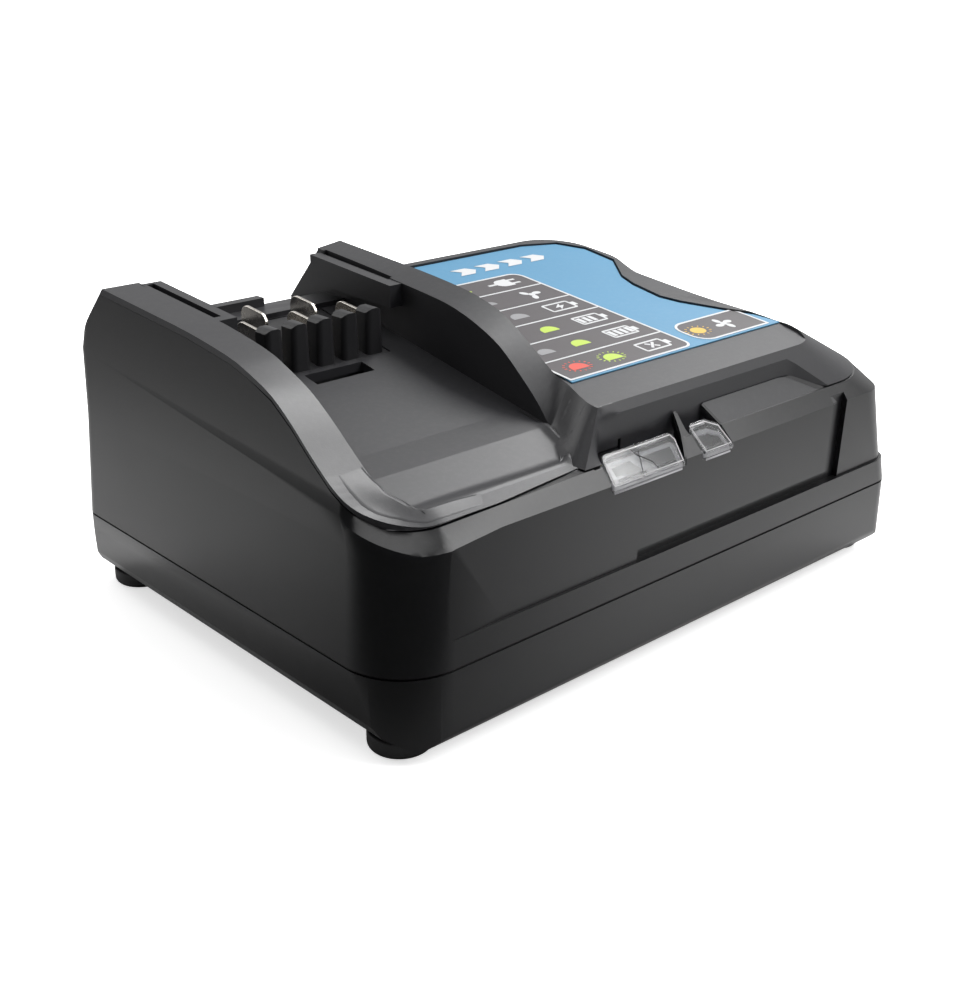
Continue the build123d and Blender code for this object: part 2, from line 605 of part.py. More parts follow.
def terminal_window():
    half = TERMINAL_PITCH * (TERMINAL_COUNT - 1) / 2 + TERMINAL_MARGIN
    return block(BAY_CENTRE_X - half, BAY_CENTRE_X + half, RIB_FRONT_Y - 0.6,
                 TERMINAL_BASE_BACK_Y + SEAM_GAP, 30, BAY_SHELF_Z - 0.1)


def floor_vent():
    return block(BAY_CENTRE_X - VENT_WIDTH / 2, BAY_CENTRE_X + VENT_WIDTH / 2,
                 VENT_Y - VENT_DEPTH / 2, VENT_Y + VENT_DEPTH / 2, 30, 60)


CASE_SCREWS = [(12.6, 34.0), (12.6, CASE_DEPTH - 35), (CASE_WIDTH - 14, 32.0),
               (CASE_WIDTH - 14, CASE_DEPTH - 31)]


def top_cover(outer, cavity):
    """Bay, rim and deck in one moulding, with the bosses that the case screws pull on."""
    cover = (outer - cavity) & cover_zone(SEAM_GAP)
    bar = block(33, 48, 114.5, 117.8, BAY_SHELF_Z - 1, BAY_SHELF_Z + 2.4)
    back_wall = block(WINDOW_LEFT, TONGUE_RIGHT, WINDOW_TOP_Y, WINDOW_TOP_Y + WALL, 37.5, 44.5)
    back_wall = (back_wall & outer) + block(DECK_LEFT + 1, FAN_POCKET[1][0], WINDOW_TOP_Y,
                                            WINDOW_TOP_Y + WALL, POCKET_BACK_Z, 39)
    cover = cover + rails() + bar + back_wall
    for x, y in CASE_SCREWS:
        boss = post(x, y, SCREW_BOSS_BOTTOM + SEAM_GAP, CASE_CEILING, BOSS_R) & outer
        cover = cover + boss - post(x, y, SCREW_BOSS_BOTTOM - 1, SCREW_THREAD_TOP, CASE_SCREW_R)
    cover = cover - prism_z(window_outline(), 20, CASE_CEILING) - rail_slots()
    return cover - terminal_window() - floor_vent()


def window_lens(plan):
    """A clear window: a plate lying on the shelf, turned down over the front edge."""
    low, back = FACE_TOP - 0.5, LENS_BACK_Y + 1
    side = [(0.2, low), (0.2, shelf_height(0.2) + LENS_PROUD), (back, shelf_height(back) + LENS_PROUD),
            (back, shelf_height(back) - LENS_THICK), (2.4, shelf_height(2.4) - LENS_THICK), (2.4, low)]
    outline = prism_z(plan, 0, CASE_CEILING)
    corners = outline.edges().filter_by(Axis.Z).sort_by(Axis.Y)[2:]
    lens = fillet(corners, LENS_ROUND) & prism_x(side, 0, CASE_WIDTH)
    return lens


def lens_holes():
    """Openings in the shelf: each lens drops in at the front, behind it a dark gap stays."""
    above_lip = prism_x([(-2, FACE_TOP - 0.5 - LENS_GAP), (4.2, FACE_TOP - 0.5 - LENS_GAP), (4.2, 20),
                         (12, 20), (12, 60), (-2, 60)], 0, CASE_WIDTH)
    return (prism_z(CHARGE_POCKET, 0, 60) + prism_z(FAN_POCKET, 0, 60)) & above_lip


def fin():
    """Thin curved rib on the shelf between the two windows."""
    points = eased([(x, y, 0) for x, y in FIN])
    left = [(x - FIN_WIDTH / 2, y) for x, y, _ in points]
    right = [(x + FIN_WIDTH / 2, y) for x, y, _ in points]
    layer = [(0, shelf_height(0) - WALL), (0, shelf_height(0) + FIN_HEIGHT),
             (12, shelf_height(12) + FIN_HEIGHT), (12, shelf_height(12) - WALL)]
    return prism_z(left + right[::-1], 0, CASE_CEILING) & prism_x(layer, 0, CASE_WIDTH)


def ledge():
    """Everything outside the recessed upper part of the front and right walls."""
    top = FACE_TOP + 3
    inside = loft([wall_face(LEDGE_HEIGHT, LEDGE_STEP), wall_face(top, LEDGE_STEP)], ruled=True)
    growing = prism_z([(LEDGE_START, -1), (LEDGE_START, 0), (LEDGE_FULL, LEDGE_STEP),
                       (LEDGE_SPLIT, LEDGE_STEP), (LEDGE_SPLIT, -1)], LEDGE_HEIGHT, top)
    full = block(LEDGE_SPLIT, CASE_WIDTH + 1, -1, CASE_DEPTH + 1, LEDGE_HEIGHT, top)
    return growing + (full - inside)


def grooves():
    """The deep upright groove right of the tongue and the one along its foot."""
    back = LEDGE_STEP + GROOVE_DEPTH
    left, right = TONGUE_RIGHT, TONGUE_RIGHT + GROOVE_WIDTH
    upright = prism_y([(left, LEDGE_HEIGHT), (right, LEDGE_HEIGHT), (right + GROOVE_LEAN, GROOVE_TOP),
                       (left + GROOVE_LEAN, GROOVE_TOP)], -1, back)
    return upright + block(GROOVE_START, right, -1, back, LEDGE_HEIGHT, TONGUE_BOTTOM)


def upper_housing(outer, cavity):
    """Side walls and front face, with the shelf that the windows lie on."""
    housing = outer - cavity - cover_zone(0)
    back = WINDOW_TOP_Y - SEAM_GAP
    shelf_side = [(SHELF_FRONT_Y, shelf_height(SHELF_FRONT_Y)), (back, shelf_height(back)),
                  (back, shelf_height(back) - WALL), (SHELF_FRONT_Y, FACE_TOP - WALL)]
    shelf = prism_z(window_outline(), 20, 60)
    shelf = shelf & prism_x(shelf_side, WINDOW_LEFT + SEAM_GAP, TONGUE_RIGHT + GROOVE_LEAN)
    housing = housing + shelf - lens_holes() + fin() - ledge() - grooves()
    groove_back = LEDGE_STEP + GROOVE_DEPTH
    housing = housing + (block(GROOVE_START - 2, TONGUE_RIGHT + GROOVE_WIDTH + 4, groove_back,
                               groove_back + WALL, 2, FACE_TOP - 1) & cavity)
    for x, y in CASE_SCREWS:
        housing = housing - post(x, y, -1, CASE_CEILING, BOSS_R + SEAM_GAP)
    return housing - barrel(GLAND_X, CASE_DEPTH - 12, CASE_DEPTH + 2, GLAND_Z, GLAND_R + GLAND_FIT)


# ---- the base -------------------------------------------------------------------------------------
def base_block(inset):
    """Bottom housing as a solid, or its cavity when inset is the wall thickness."""
    t = inset
    low = -BASE_DROP + t
    right, back = CASE_WIDTH - t, CASE_DEPTH - t
    front_view = [(t, 1), (t, 0), (1.4 + t, -13), (2.6 + t, -15.6), (8 + t, low), (right - 6, low),
                  (right - 1.8, -13), (right, 0), (right, 1)]
    side_view = [(t, 1), (t, -15.6), (0.4 + t, -17.2), (1.5 + t, -18.5 + t), (3.2 + t, low),
                 (back - 7, low), (back - 3, -17.4 + t / 2), (back - 1.4, -13), (back, 0), (back, 1)]
    plan = extrude(wall_face(0, t), amount=BASE_DROP + 1, dir=(0, 0, -1))
    return plan & prism_y(front_view, -5, CASE_DEPTH + 5) & prism_x(side_view, -5, CASE_WIDTH + 5)


FEET = [(x, y) for y in (FOOT_INSET_FRONT, CASE_DEPTH - FOOT_INSET_BACK)
        for x in (FOOT_INSET_LEFT, CASE_WIDTH - FOOT_INSET_RIGHT)]
KEYHOLES = [(CASE_WIDTH / 2 - KEYHOLE_SPACING / 2, KEYHOLE_Y),
            (CASE_WIDTH / 2 + KEYHOLE_SPACING / 2, KEYHOLE_Y)]
BOARD_SCREWS = [(BOARD_LEFT + 6, BOARD_FRONT + 14), (BOARD_LEFT + 6, BOARD_BACK - 6),
                (BOARD_RIGHT - 20, BOARD_FRONT + 6), (BOARD_RIGHT - 20, BOARD_BACK - 6)]
BOARD_Z = INSIDE_FLOOR + BOARD_LIFT
FAN_Z = INSIDE_FLOOR + FAN_LIFT
FAN_HOLES = [(FAN_X + i * FAN_HOLE_PITCH / 2, FAN_Y + j * FAN_HOLE_PITCH / 2)
             for i in (-1, 1) for j in (-1, 1)]


def bottom_housing():
    groove = block(-1, CASE_WIDTH + 1, -1, CASE_DEPTH + 1, -PARTING_GROOVE, 1)
    groove = groove - extrude(wall_face(0, 0.5), amount=8, dir=(0, 0, -1))
    top = block(-1, CASE_WIDTH + 1, -1, CASE_DEPTH + 1, 0, 5)
    base = base_block(0) - groove - top
    base = base - base_block(WALL)
    for x, y in FEET:
        base = base + (post(x, y, -BASE_DROP, INSIDE_FLOOR + 2.5, FOOT_R - 1) & base_block(0))
        base = base - post(x, y, -BASE_DROP - 1, INSIDE_FLOOR + 10, FOOT_STEM_R)
        base = base - post(x, y, -BASE_DROP - 1, -BASE_DROP + FOOT_RECESS, FOOT_R + SCREW_CLEARANCE)
    for x, y in CASE_SCREWS:
        base = base + (post(x, y, -BASE_DROP + 0.5, SCREW_BOSS_BOTTOM, BASE_BOSS_R) & base_block(0))
        base = base - post(x, y, -BASE_DROP - 1, SCREW_BOSS_BOTTOM + 1, CASE_SCREW_R + SCREW_CLEARANCE)
        base = base - post(x, y, -BASE_DROP - 1, SCREW_HEAD_SEAT, CASE_SCREW_HEAD_R + SCREW_CLEARANCE)
    for x, y in BOARD_SCREWS:
        base = base + ring(x, y, INSIDE_FLOOR - 0.5, BOARD_Z, BOSS_R, BOARD_SCREW_R)
    for x, y in FAN_HOLES:
        base = base + ring(x, y, INSIDE_FLOOR - 0.5, FAN_Z, BOSS_R, FAN_SCREW_R)
    for n in range(GRILLE_SLOTS):
        y = FAN_Y + (n - (GRILLE_SLOTS - 1) / 2) * GRILLE_PITCH
        half = FAN_BORE_R - abs(n - (GRILLE_SLOTS - 1) / 2) * 2.2
        base = base - block(FAN_X - half, FAN_X + half, y - GRILLE_SLOT_WIDTH / 2,
                            y + GRILLE_SLOT_WIDTH / 2, -BASE_DROP - 1, INSIDE_FLOOR + 1)
    for x, y in KEYHOLES:
        base = base - post(x, y, -BASE_DROP - 1, INSIDE_FLOOR + 1, KEYHOLE_ENTRY_R)
        base = base - block(x - KEYHOLE_NECK / 2, x + KEYHOLE_NECK / 2, y, y + KEYHOLE_TRAVEL,
                            -BASE_DROP - 1, INSIDE_FLOOR + 1)
    return base


def foot(x, y):
    """Rubber foot with a rounded edge, pushed into its hole by a stem."""
    pad = post(x, y, FOOT_PLANE, -BASE_DROP + FOOT_RECESS, FOOT_R)
    pad = fillet(pad.edges().filter_by(GeomType.CIRCLE).sort_by(Axis.Z)[0], FOOT_ROUND)
    return pad + post(x, y, -BASE_DROP, INSIDE_FLOOR + 2.5, FOOT_STEM_R - 0.1)


# ---- label and lenses ------------------------------------------------------------------------------
def label_panel():
    """Printed film in the well; its left edge follows the band."""
    right = [(x - LABEL_CLEARANCE, y) for x, y in WELL_RIGHT if LABEL_FRONT_Y < y < WELL_RIGHT[-2][1]]
    back = WELL_RIGHT[-1][1] - LABEL_CLEARANCE
    left = DECK_LEFT + LABEL_CLEARANCE
    outline = [(left, 32.0), (left - 1.3, LABEL_FRONT_Y), (right[0][0], LABEL_FRONT_Y)] + right
    outline += [(WELL_RIGHT[-2][0], back), (left, back)]
    layer = [(0, deck_height(0)), (CASE_DEPTH, deck_height(CASE_DEPTH)),
             (CASE_DEPTH, deck_height(CASE_DEPTH) + LABEL_FILM), (0, deck_height(0) + LABEL_FILM)]
    return prism_z(outline, 20, CASE_CEILING) & prism_x(layer, 0, CASE_WIDTH)


LAMPS = [CHARGE_LENS_LEFT + 7, CHARGE_LENS_RIGHT - 6.5, (FAN_LENS_LEFT + FAN_LENS_RIGHT) / 2 - 1]
LAMP_Y = 6.3
GUIDE_HALF_DEPTH = 1.0
GUIDE_LEGS = [CHARGE_LENS_LEFT + 12.5, FAN_LENS_LEFT - 2.5]
BOARD_TOP = BOARD_Z + BOARD_THICK


def charge_lamp_lens():
    """The wide window; a slanting groove parts its two halves."""
    lens = window_lens(CHARGE_LENS_PLAN)
    x, back = CHARGE_LENS_LEFT + 9, LENS_BACK_Y + 2
    groove = prism_z([(x, -1), (x + 0.8, -1), (x + 5.8, back), (x + 5, back)], 25, 60)
    above = prism_x([(-1, shelf_height(-1) + 0.1), (back, shelf_height(back) + 0.1), (back, 60), (-1, 60)],
                    CHARGE_LENS_LEFT, CHARGE_LENS_RIGHT)
    return lens - (groove & above)


def light_guides():
    """Clear rods that carry light from the board up to the windows, on two legs."""
    z0 = BOARD_TOP + LED_HEIGHT + LED_GAP
    y0, y1 = LAMP_Y - GUIDE_HALF_DEPTH, LAMP_Y + GUIDE_HALF_DEPTH
    guide = block(LAMPS[0], LAMPS[-1], y0, y1, GUIDE_BRIDGE_Z, GUIDE_BRIDGE_Z + 3)
    for x in LAMPS:
        guide = guide + block(x - 2.5, x + 2.5, y0, y1, z0, GUIDE_TOP)
    for x in GUIDE_LEGS:
        guide = guide + block(x - 1.2, x + 1.2, y0, y1, BOARD_TOP, GUIDE_BRIDGE_Z + 1)
    return guide


def indicator_leds():
    return [block(x - 1.6, x + 1.6, LAMP_Y - 1.4, LAMP_Y + 1.4, BOARD_TOP, BOARD_TOP + LED_HEIGHT)
            for x in LAMPS]


# ---- terminals -----------------------------------------------------------------------------------
TERMINAL_X = [BAY_CENTRE_X + (n - (TERMINAL_COUNT - 1) / 2) * TERMINAL_PITCH
              for n in range(TERMINAL_COUNT)]


TERMINAL_BOARD_TOP = TERMINAL_BOARD_Z + TERMINAL_BOARD_THICK
TERMINAL_SCREWS = [(TERMINAL_X[0], TERMINAL_SCREW_Y), (TERMINAL_X[-1], TERMINAL_SCREW_Y)]


def blade_start(n):
    return FRONT_BLADE_Y if n % 2 == 0 else REAR_BLADE_Y


def terminal_block():
    half = TERMINAL_PITCH * (TERMINAL_COUNT - 1) / 2 + TERMINAL_MARGIN - SEAM_GAP
    y0, y1 = RIB_FRONT_Y - 0.3, TERMINAL_BASE_BACK_Y
    side = [(y0, TERMINAL_BASE_BOTTOM), (y0, bay_floor(y0) - 0.1), (y1, bay_floor(y1) - 0.1),
            (y1, TERMINAL_BASE_BOTTOM)]
    body = prism_x(side, BAY_CENTRE_X - half, BAY_CENTRE_X + half)
    flange = [(y0, TERMINAL_BASE_BOTTOM), (y0, bay_floor(y0) - WALL - SEAM_GAP),
              (y1, bay_floor(y1) - WALL - SEAM_GAP), (y1, TERMINAL_BASE_BOTTOM)]
    body = body + prism_x(flange, BAY_CENTRE_X - half - 3, BAY_CENTRE_X + half + 3)
    for x in TERMINAL_X:
        foot_half, top_half = RIB_WIDTH / 2, RIB_WIDTH / 2 - 0.4
        rib = prism_y([(x - foot_half, 44), (x + foot_half, 44), (x + top_half, RIB_TOP - 1.1),
                       (x + top_half - 0.6, RIB_TOP - 0.4), (x + top_half - 1.5, RIB_TOP),
                       (x - top_half + 1.5, RIB_TOP), (x - top_half + 0.6, RIB_TOP - 0.4),
                       (x - top_half, RIB_TOP - 1.1)], RIB_FRONT_Y, RIB_FRONT_Y + RIB_DEPTH)
        rib = fillet(rib.edges().filter_by(lambda e: abs(e.tangent_at(0).Z) > 0.9)
                     .sort_by(Axis.Y)[:2], 1.4)
        body = body + rib
    for n, x in enumerate(TERMINAL_X):
        y0 = blade_start(n)
        body = body - block(x - BLADE_THICK / 2 - BLADE_SLOT_CLEARANCE,
                            x + BLADE_THICK / 2 + BLADE_SLOT_CLEARANCE, y0 - 0.1,
                            y0 + BLADE_LENGTH + 0.1, 30, 58)
    for x, y in TERMINAL_SCREWS:
        body = body + ring(x, y, TERMINAL_BOARD_TOP, TERMINAL_BASE_BOTTOM + 0.5, TERMINAL_STANDOFF_R,
                           TERMINAL_SCREW_R + SCREW_FIT)
        body = body - post(x, y, TERMINAL_BASE_BOTTOM, TERMINAL_SCREW_TOP + 0.5,
                           TERMINAL_SCREW_R + SCREW_FIT)
    return body


def blade(n):
    """Flat contact with rounded top corners and a solder tail."""
    x, y0 = TERMINAL_X[n], blade_start(n)
    y1, foot = y0 + BLADE_LENGTH, TERMINAL_BASE_BOTTOM - 1
    top = [(y, BLADE_TOP + BLADE_SLOPE * (y - FRONT_BLADE_Y)) for y in (y0, y1)]
    plate = prism_x([(y0, foot)] + top + [(y1, foot)], x - BLADE_THICK / 2, x + BLADE_THICK / 2)
    upper = [e for e in plate.edges().filter_by(Axis.X) if e.center().Z > foot + 1]
    rounded = sorted(upper, key=lambda e: e.center().Y)
    plate = fillet(rounded if n % 2 else rounded[-1:], BLADE_CORNER)
    tail = block(x - BLADE_THICK / 2, x + BLADE_THICK / 2, y0 + 4, y0 + 7,
                 TERMINAL_BOARD_Z - 2, TERMINAL_BASE_BOTTOM)
    return plate + tail


def terminal_board():
    half = TERMINAL_PITCH * (TERMINAL_COUNT - 1) / 2 + TERMINAL_MARGIN
    board = block(BAY_CENTRE_X - half, BAY_CENTRE_X + half, FRONT_BLADE_Y, TERMINAL_BASE_BACK_Y,
                  TERMINAL_BOARD_Z, TERMINAL_BOARD_Z + TERMINAL_BOARD_THICK)
    for n, x in enumerate(TERMINAL_X):
        y0 = blade_start(n)
        board = board - block(x - 0.7, x + 0.7, y0 + 3.8, y0 + 7.2, 30, 45)
    for x, y in TERMINAL_SCREWS:
        board = board - post(x, y, 30, 45, TERMINAL_SCREW_R + SCREW_CLEARANCE)
    return board


# ---- fan and duct ----------------------------------------------------------------------------------
def fan_frame():
    """Square frame with a round bore, three struts and the rotor's bearing tube."""
    z0, z1 = FAN_Z, FAN_Z + FAN_THICK
    frame = Pos(FAN_X, FAN_Y, (z0 + z1) / 2) * Box(FAN_SIZE, FAN_SIZE, FAN_THICK)
    frame = fillet(frame.edges().filter_by(Axis.Z), FAN_CORNER)
    frame = frame - post(FAN_X, FAN_Y, z0 - 1, z1 + 1, FAN_BORE_R)
    for n in range(FAN_STRUTS):
        strut = Pos(FAN_BORE_R / 2, 0, 0) * Box(FAN_BORE_R + 1, FAN_STRUT_WIDTH, FAN_PLATE)
        frame = frame + Pos(FAN_X, FAN_Y, z0 + FAN_PLATE / 2) * Rot(0, 0, 360 / FAN_STRUTS * n) * strut
    frame = frame + post(FAN_X, FAN_Y, z0, z0 + FAN_PLATE, FAN_HUB_R)
    frame = frame + post(FAN_X, FAN_Y, z0, z0 + FAN_HUB_HEIGHT, FAN_BEARING_R)
    frame = frame - post(FAN_X, FAN_Y, z0 + FAN_PLATE / 2, z1, FAN_SHAFT_R + RUNNING_CLEARANCE)
    for x, y in FAN_HOLES:
        frame = frame - post(x, y, z0 - 1, z1 + 1, FAN_SCREW_R + SCREW_CLEARANCE)
        frame = frame - post(x, y, z1 - FAN_HEAD_SINK, z1 + 1, FAN_HEAD_R + SCREW_CLEARANCE)
    return frame


def fan_rotor():
    """Cup-shaped hub with pitched blades, turning on a shaft in the bearing tube."""
    foot = FAN_Z + FAN_PLATE + FAN_BLADE_CLEARANCE
    top = FAN_Z + FAN_HUB_HEIGHT + FAN_BLADE_CLEARANCE + FAN_CUP_WALL
    hub = post(FAN_X, FAN_Y, foot, top, FAN_HUB_R)
    hub = hub - post(FAN_X, FAN_Y, foot - 1, top - FAN_CUP_WALL, FAN_HUB_R - FAN_CUP_WALL)
    hub = hub + post(FAN_X, FAN_Y, FAN_Z + FAN_PLATE / 2 + RUNNING_CLEARANCE, top, FAN_SHAFT_R)
    tip = FAN_BORE_R - FAN_BLADE_CLEARANCE
    swept = ring(FAN_X, FAN_Y, foot + 0.6, top, tip, FAN_HUB_R - FAN_CUP_WALL / 2)
    for n in range(FAN_BLADES):
        wing = Pos((FAN_HUB_R + tip) / 2, 0, 0) * Rot(FAN_BLADE_PITCH, 0, 0)
        wing = wing * Box(tip - FAN_HUB_R + 6, FAN_BLADE_THICK, FAN_BLADE_CHORD)
        wing = Pos(FAN_X, FAN_Y, (foot + top) / 2) * Rot(0, 0, 360 / FAN_BLADES * n) * wing
        hub = hub + (wing & swept)
    return hub


def air_duct():
    """Funnel from the fan up to the slot in the bay floor."""
    def frustum(grow):
        low = [(FAN_X + i * (FAN_SIZE / 2 - DUCT_WALL + grow), FAN_Y + j * (FAN_SIZE / 2 - DUCT_WALL + grow),
                FAN_Z + FAN_THICK) for i, j in ((-1, -1), (1, -1), (1, 1), (-1, 1))]
        high = [(BAY_CENTRE_X + i * (VENT_WIDTH / 2 + grow), VENT_Y + j * (VENT_DEPTH / 2 + grow),
                 bay_floor(VENT_Y - VENT_DEPTH / 2 - DUCT_WALL) - WALL - DUCT_TOP_GAP)
                for i, j in ((-1, -1), (1, -1), (1, 1), (-1, 1))]
        return loft([polygon(low), polygon(high)], ruled=True)
    return frustum(DUCT_WALL) - frustum(0)


# ---- electronics ----------------------------------------------------------------------------------
def on_board(x, y, wide, deep, high):
    return block(x - wide / 2, x + wide / 2, y - deep / 2, y + deep / 2, BOARD_TOP, BOARD_TOP + high)


def circuit_board():
    board = block(BOARD_LEFT, BOARD_RIGHT, BOARD_FRONT, BOARD_BACK, BOARD_Z, BOARD_TOP)
    for x, y in BOARD_SCREWS:
        board = board - post(x, y, BOARD_Z - 1, BOARD_TOP + 1, BOARD_SCREW_R + SCREW_CLEARANCE)
    return board


def transformer_core():
    """Two E-shaped ferrite halves that close into a frame with a centre leg."""
    x, y = TRANSFORMER_AT
    core = on_board(x, y, CORE_WIDTH, CORE_DEPTH, CORE_HEIGHT)
    window = (CORE_WIDTH - 2 * CORE_SIDE_LEG - CORE_CENTRE_LEG) / 2
    for side in (-1, 1):
        centre = x + side * (CORE_CENTRE_LEG + window) / 2
        core = core - block(centre - window / 2, centre + window / 2, y - CORE_DEPTH, y + CORE_DEPTH,
                            BOARD_TOP + CORE_SIDE_LEG, BOARD_TOP + CORE_HEIGHT - CORE_SIDE_LEG)
    return core


def transformer_winding():
    """Coil and bobbin round the centre leg."""
    x, y = TRANSFORMER_AT
    half_x = CORE_WIDTH / 2 - CORE_SIDE_LEG - WINDING_GAP
    half_y = CORE_DEPTH / 2 + WINDING_BULGE
    z0, z1 = BOARD_TOP + CORE_SIDE_LEG + WINDING_GAP, BOARD_TOP + CORE_HEIGHT - CORE_SIDE_LEG - WINDING_GAP
    coil = block(x - half_x, x + half_x, y - half_y, y + half_y, z0, z1)
    coil = fillet(coil.edges().filter_by(Axis.Z), WINDING_BULGE - WINDING_GAP)
    feet = block(x - half_x, x + half_x, y + CORE_DEPTH / 2 + WINDING_GAP, y + half_y - 1, BOARD_TOP, z0 + 1)
    leg_x, leg_y = CORE_CENTRE_LEG / 2 + WINDING_GAP, CORE_DEPTH / 2 + WINDING_GAP
    return coil + feet - block(x - leg_x, x + leg_x, y - leg_y, y + leg_y, z0 - 1, z1 + 1)


def heat_sinks():
    """Two finned plates standing on the board."""
    sinks = []
    for x, y, length in SINKS:
        sink = on_board(x, y, length, SINK_PLATE, SINK_HEIGHT)
        for n in range(int(length / SINK_FIN_PITCH)):
            fin_x = x - length / 2 + SINK_FIN_PITCH * (n + 0.5)
            sink = sink + on_board(fin_x, y + SINK_PLATE / 2 + SINK_FIN / 2 - 0.1, SINK_FIN_THICK,
                                   SINK_FIN + 0.2, SINK_HEIGHT)
        sinks.append(sink)
    return sinks


def power_transistors():
    """Flat packages bolted to the smooth side of each heat sink."""
    packages = []
    for x, y, length in SINKS:
        for side in (-1, 1):
            centre = x + side * length / 4
            body = on_board(centre, y - SINK_PLATE / 2 - PACKAGE_THICK / 2, PACKAGE_WIDTH,
                            PACKAGE_THICK, PACKAGE_HEIGHT)
            packages.append(body)
    return packages


def bulk_capacitor():
    x, y = BULK_AT
    can = post(x, y, BOARD_TOP, BOARD_TOP + BULK_HEIGHT, BULK_R)
    return fillet(can.edges().filter_by(GeomType.CIRCLE).sort_by(Axis.Z)[-1], CAN_ROUND)


def output_capacitors():
    cans = [post(OUTPUT_CAP_X, y, BOARD_TOP, BOARD_TOP + OUTPUT_CAP_HEIGHT, OUTPUT_CAP_R)
            for y in OUTPUT_CAP_Y]
    return [fillet(can.edges().filter_by(GeomType.CIRCLE).sort_by(Axis.Z)[-1], CAN_ROUND / 2)
            for can in cans]


def choke_coil():
    x, y = CHOKE_AT
    coil = ring(x, y, BOARD_TOP, BOARD_TOP + CHOKE_HEIGHT, CHOKE_R, CHOKE_BORE_R)
    return fillet(coil.edges().filter_by(GeomType.CIRCLE).group_by(Axis.Z)[-1], CAN_ROUND)


def bridge_rectifier():
    x, y = BRIDGE_AT
    return on_board(x, y, BRIDGE_WIDTH, BRIDGE_DEPTH, BRIDGE_HEIGHT)


def fuse():
    """Glass tube in its two clips."""
    x, y = FUSE_AT
    tube = Pos(x, y, BOARD_TOP + FUSE_R + 1.5) * Rot(0, 90, 0) * Cylinder(FUSE_R, FUSE_LENGTH)
    for side in (-1, 1):
        tube = tube + on_board(x + side * (FUSE_LENGTH / 2 - 3), y, 5, 2 * FUSE_R + 1.6, FUSE_R + 3)
    return tube


# ---- gland and screws ---------------------------------------------------------------------------
def cord_gland():
    """Flanged sleeve in the back wall that a mains cord is led through."""
    gland = barrel(GLAND_X, GLAND_INNER_Y, GLAND_OUTER_Y, GLAND_Z, GLAND_R)
    gland = gland + barrel(GLAND_X, GLAND_FLANGE_Y, GLAND_FLANGE_Y + GLAND_FLANGE_THICK, GLAND_Z,
                           GLAND_FLANGE_R)
    return gland - barrel(GLAND_X, GLAND_INNER_Y - 1, GLAND_OUTER_Y + 1, GLAND_Z, GLAND_BORE_R)


def screw(x, y, tip, seat, shank, head_radius, head_height):
    """Pan-head screw with a cross recess; tip may lie above or below the seat of its head."""
    away = 1 if seat > tip else -1
    top = seat + away * head_height
    body = post(x, y, min(tip, seat), max(tip, seat), shank)
    body = body + post(x, y, min(seat, top), max(seat, top), head_radius)
    arm = head_radius * 0.55
    z0, z1 = sorted((top - away * head_height * 0.5, top + away))
    recess = block(x - arm, x + arm, y - arm / 5, y + arm / 5, z0, z1)
    recess = recess + block(x - arm / 5, x + arm / 5, y - arm, y + arm, z0, z1)
    return body - recess


def housing_screws():
    return [screw(x, y, SCREW_THREAD_TOP - 1, SCREW_HEAD_SEAT, CASE_SCREW_R - SCREW_FIT,
                  CASE_SCREW_HEAD_R, 2.4) for x, y in CASE_SCREWS]


def board_screws():
    return [screw(x, y, INSIDE_FLOOR + 0.5, BOARD_TOP, BOARD_SCREW_R - SCREW_FIT, 3.0, 2.0)
            for x, y in BOARD_SCREWS]


def fan_screws():
    return [screw(x, y, INSIDE_FLOOR + 0.5, FAN_Z + FAN_THICK - FAN_HEAD_SINK,
                  FAN_SCREW_R - SCREW_FIT, FAN_HEAD_R, FAN_HEAD_SINK - 0.2)
            for x, y in FAN_HOLES]


def terminal_screws():
    return [screw(x, y, TERMINAL_SCREW_TOP, TERMINAL_BOARD_Z, TERMINAL_SCREW_R, 2.0, 1.4)
            for x, y in TERMINAL_SCREWS]


# ---- export -----------------------------------------------------------------------------------------
def placed(shape):
    if isinstance(shape, list):
        return Compound([solid for piece in shape for solid in (TO_CENTRE * piece).solids()])
    return TO_CENTRE * shape


outer = upper_envelope()
cavity = upper_cavity()
pieces = {
    "bottom_housing": bottom_housing(),
    "upper_housing": upper_housing(outer, cavity),
    "top_cover": top_cover(outer, cavity),
    "label_panel": label_panel(),
    "charge_lamp_lens": charge_lamp_lens(),
    "fan_lamp_lens": window_lens(FAN_LENS_PLAN),
    "light_guides": light_guides(),
    "indicator_leds": indicator_leds(),
    "terminal_block": terminal_block(),
    "terminal_board": terminal_board(),
    "circuit_board": circuit_board(),
    "transformer_core": transformer_core(),
    "transformer_winding": transformer_winding(),
    "heat_sinks": heat_sinks(),
    "power_transistors": power_transistors(),
    "bulk_capacitor": bulk_capacitor(),
    "output_capacitors": output_capacitors(),
    "choke_coil": choke_coil(),
    "bridge_rectifier": bridge_rectifier(),
    "fuse": fuse(),
    "fan_frame": fan_frame(),
    "fan_rotor": fan_rotor(),
    "air_duct": air_duct(),
    "cord_gland": cord_gland(),
    "rubber_feet": [foot(x, y) for x, y in FEET],
    "housing_screws": housing_screws(),
    "board_screws": board_screws(),
    "fan_screws": fan_screws(),
    "terminal_screws": terminal_screws(),
}
for n, letter in enumerate("abcde"):
    pieces["blade_" + letter] = blade(n)

os.makedirs("parts", exist_ok=True)
for name, shape in pieces.items():
    export_step(placed(shape), "parts/" + name + ".step")
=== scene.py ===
"""Looks of a desk-top charger for slide-in tool battery packs, laid out as a Blender add-on.

Each operator dresses one piece, or one group of like pieces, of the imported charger: the case mouldings,
the printed label, the lamp windows, the terminals, the fan, the electronics and the fastenings. The last
one sets the floor, the lights and the camera. Lengths named _mm are millimetres.
"""
import math

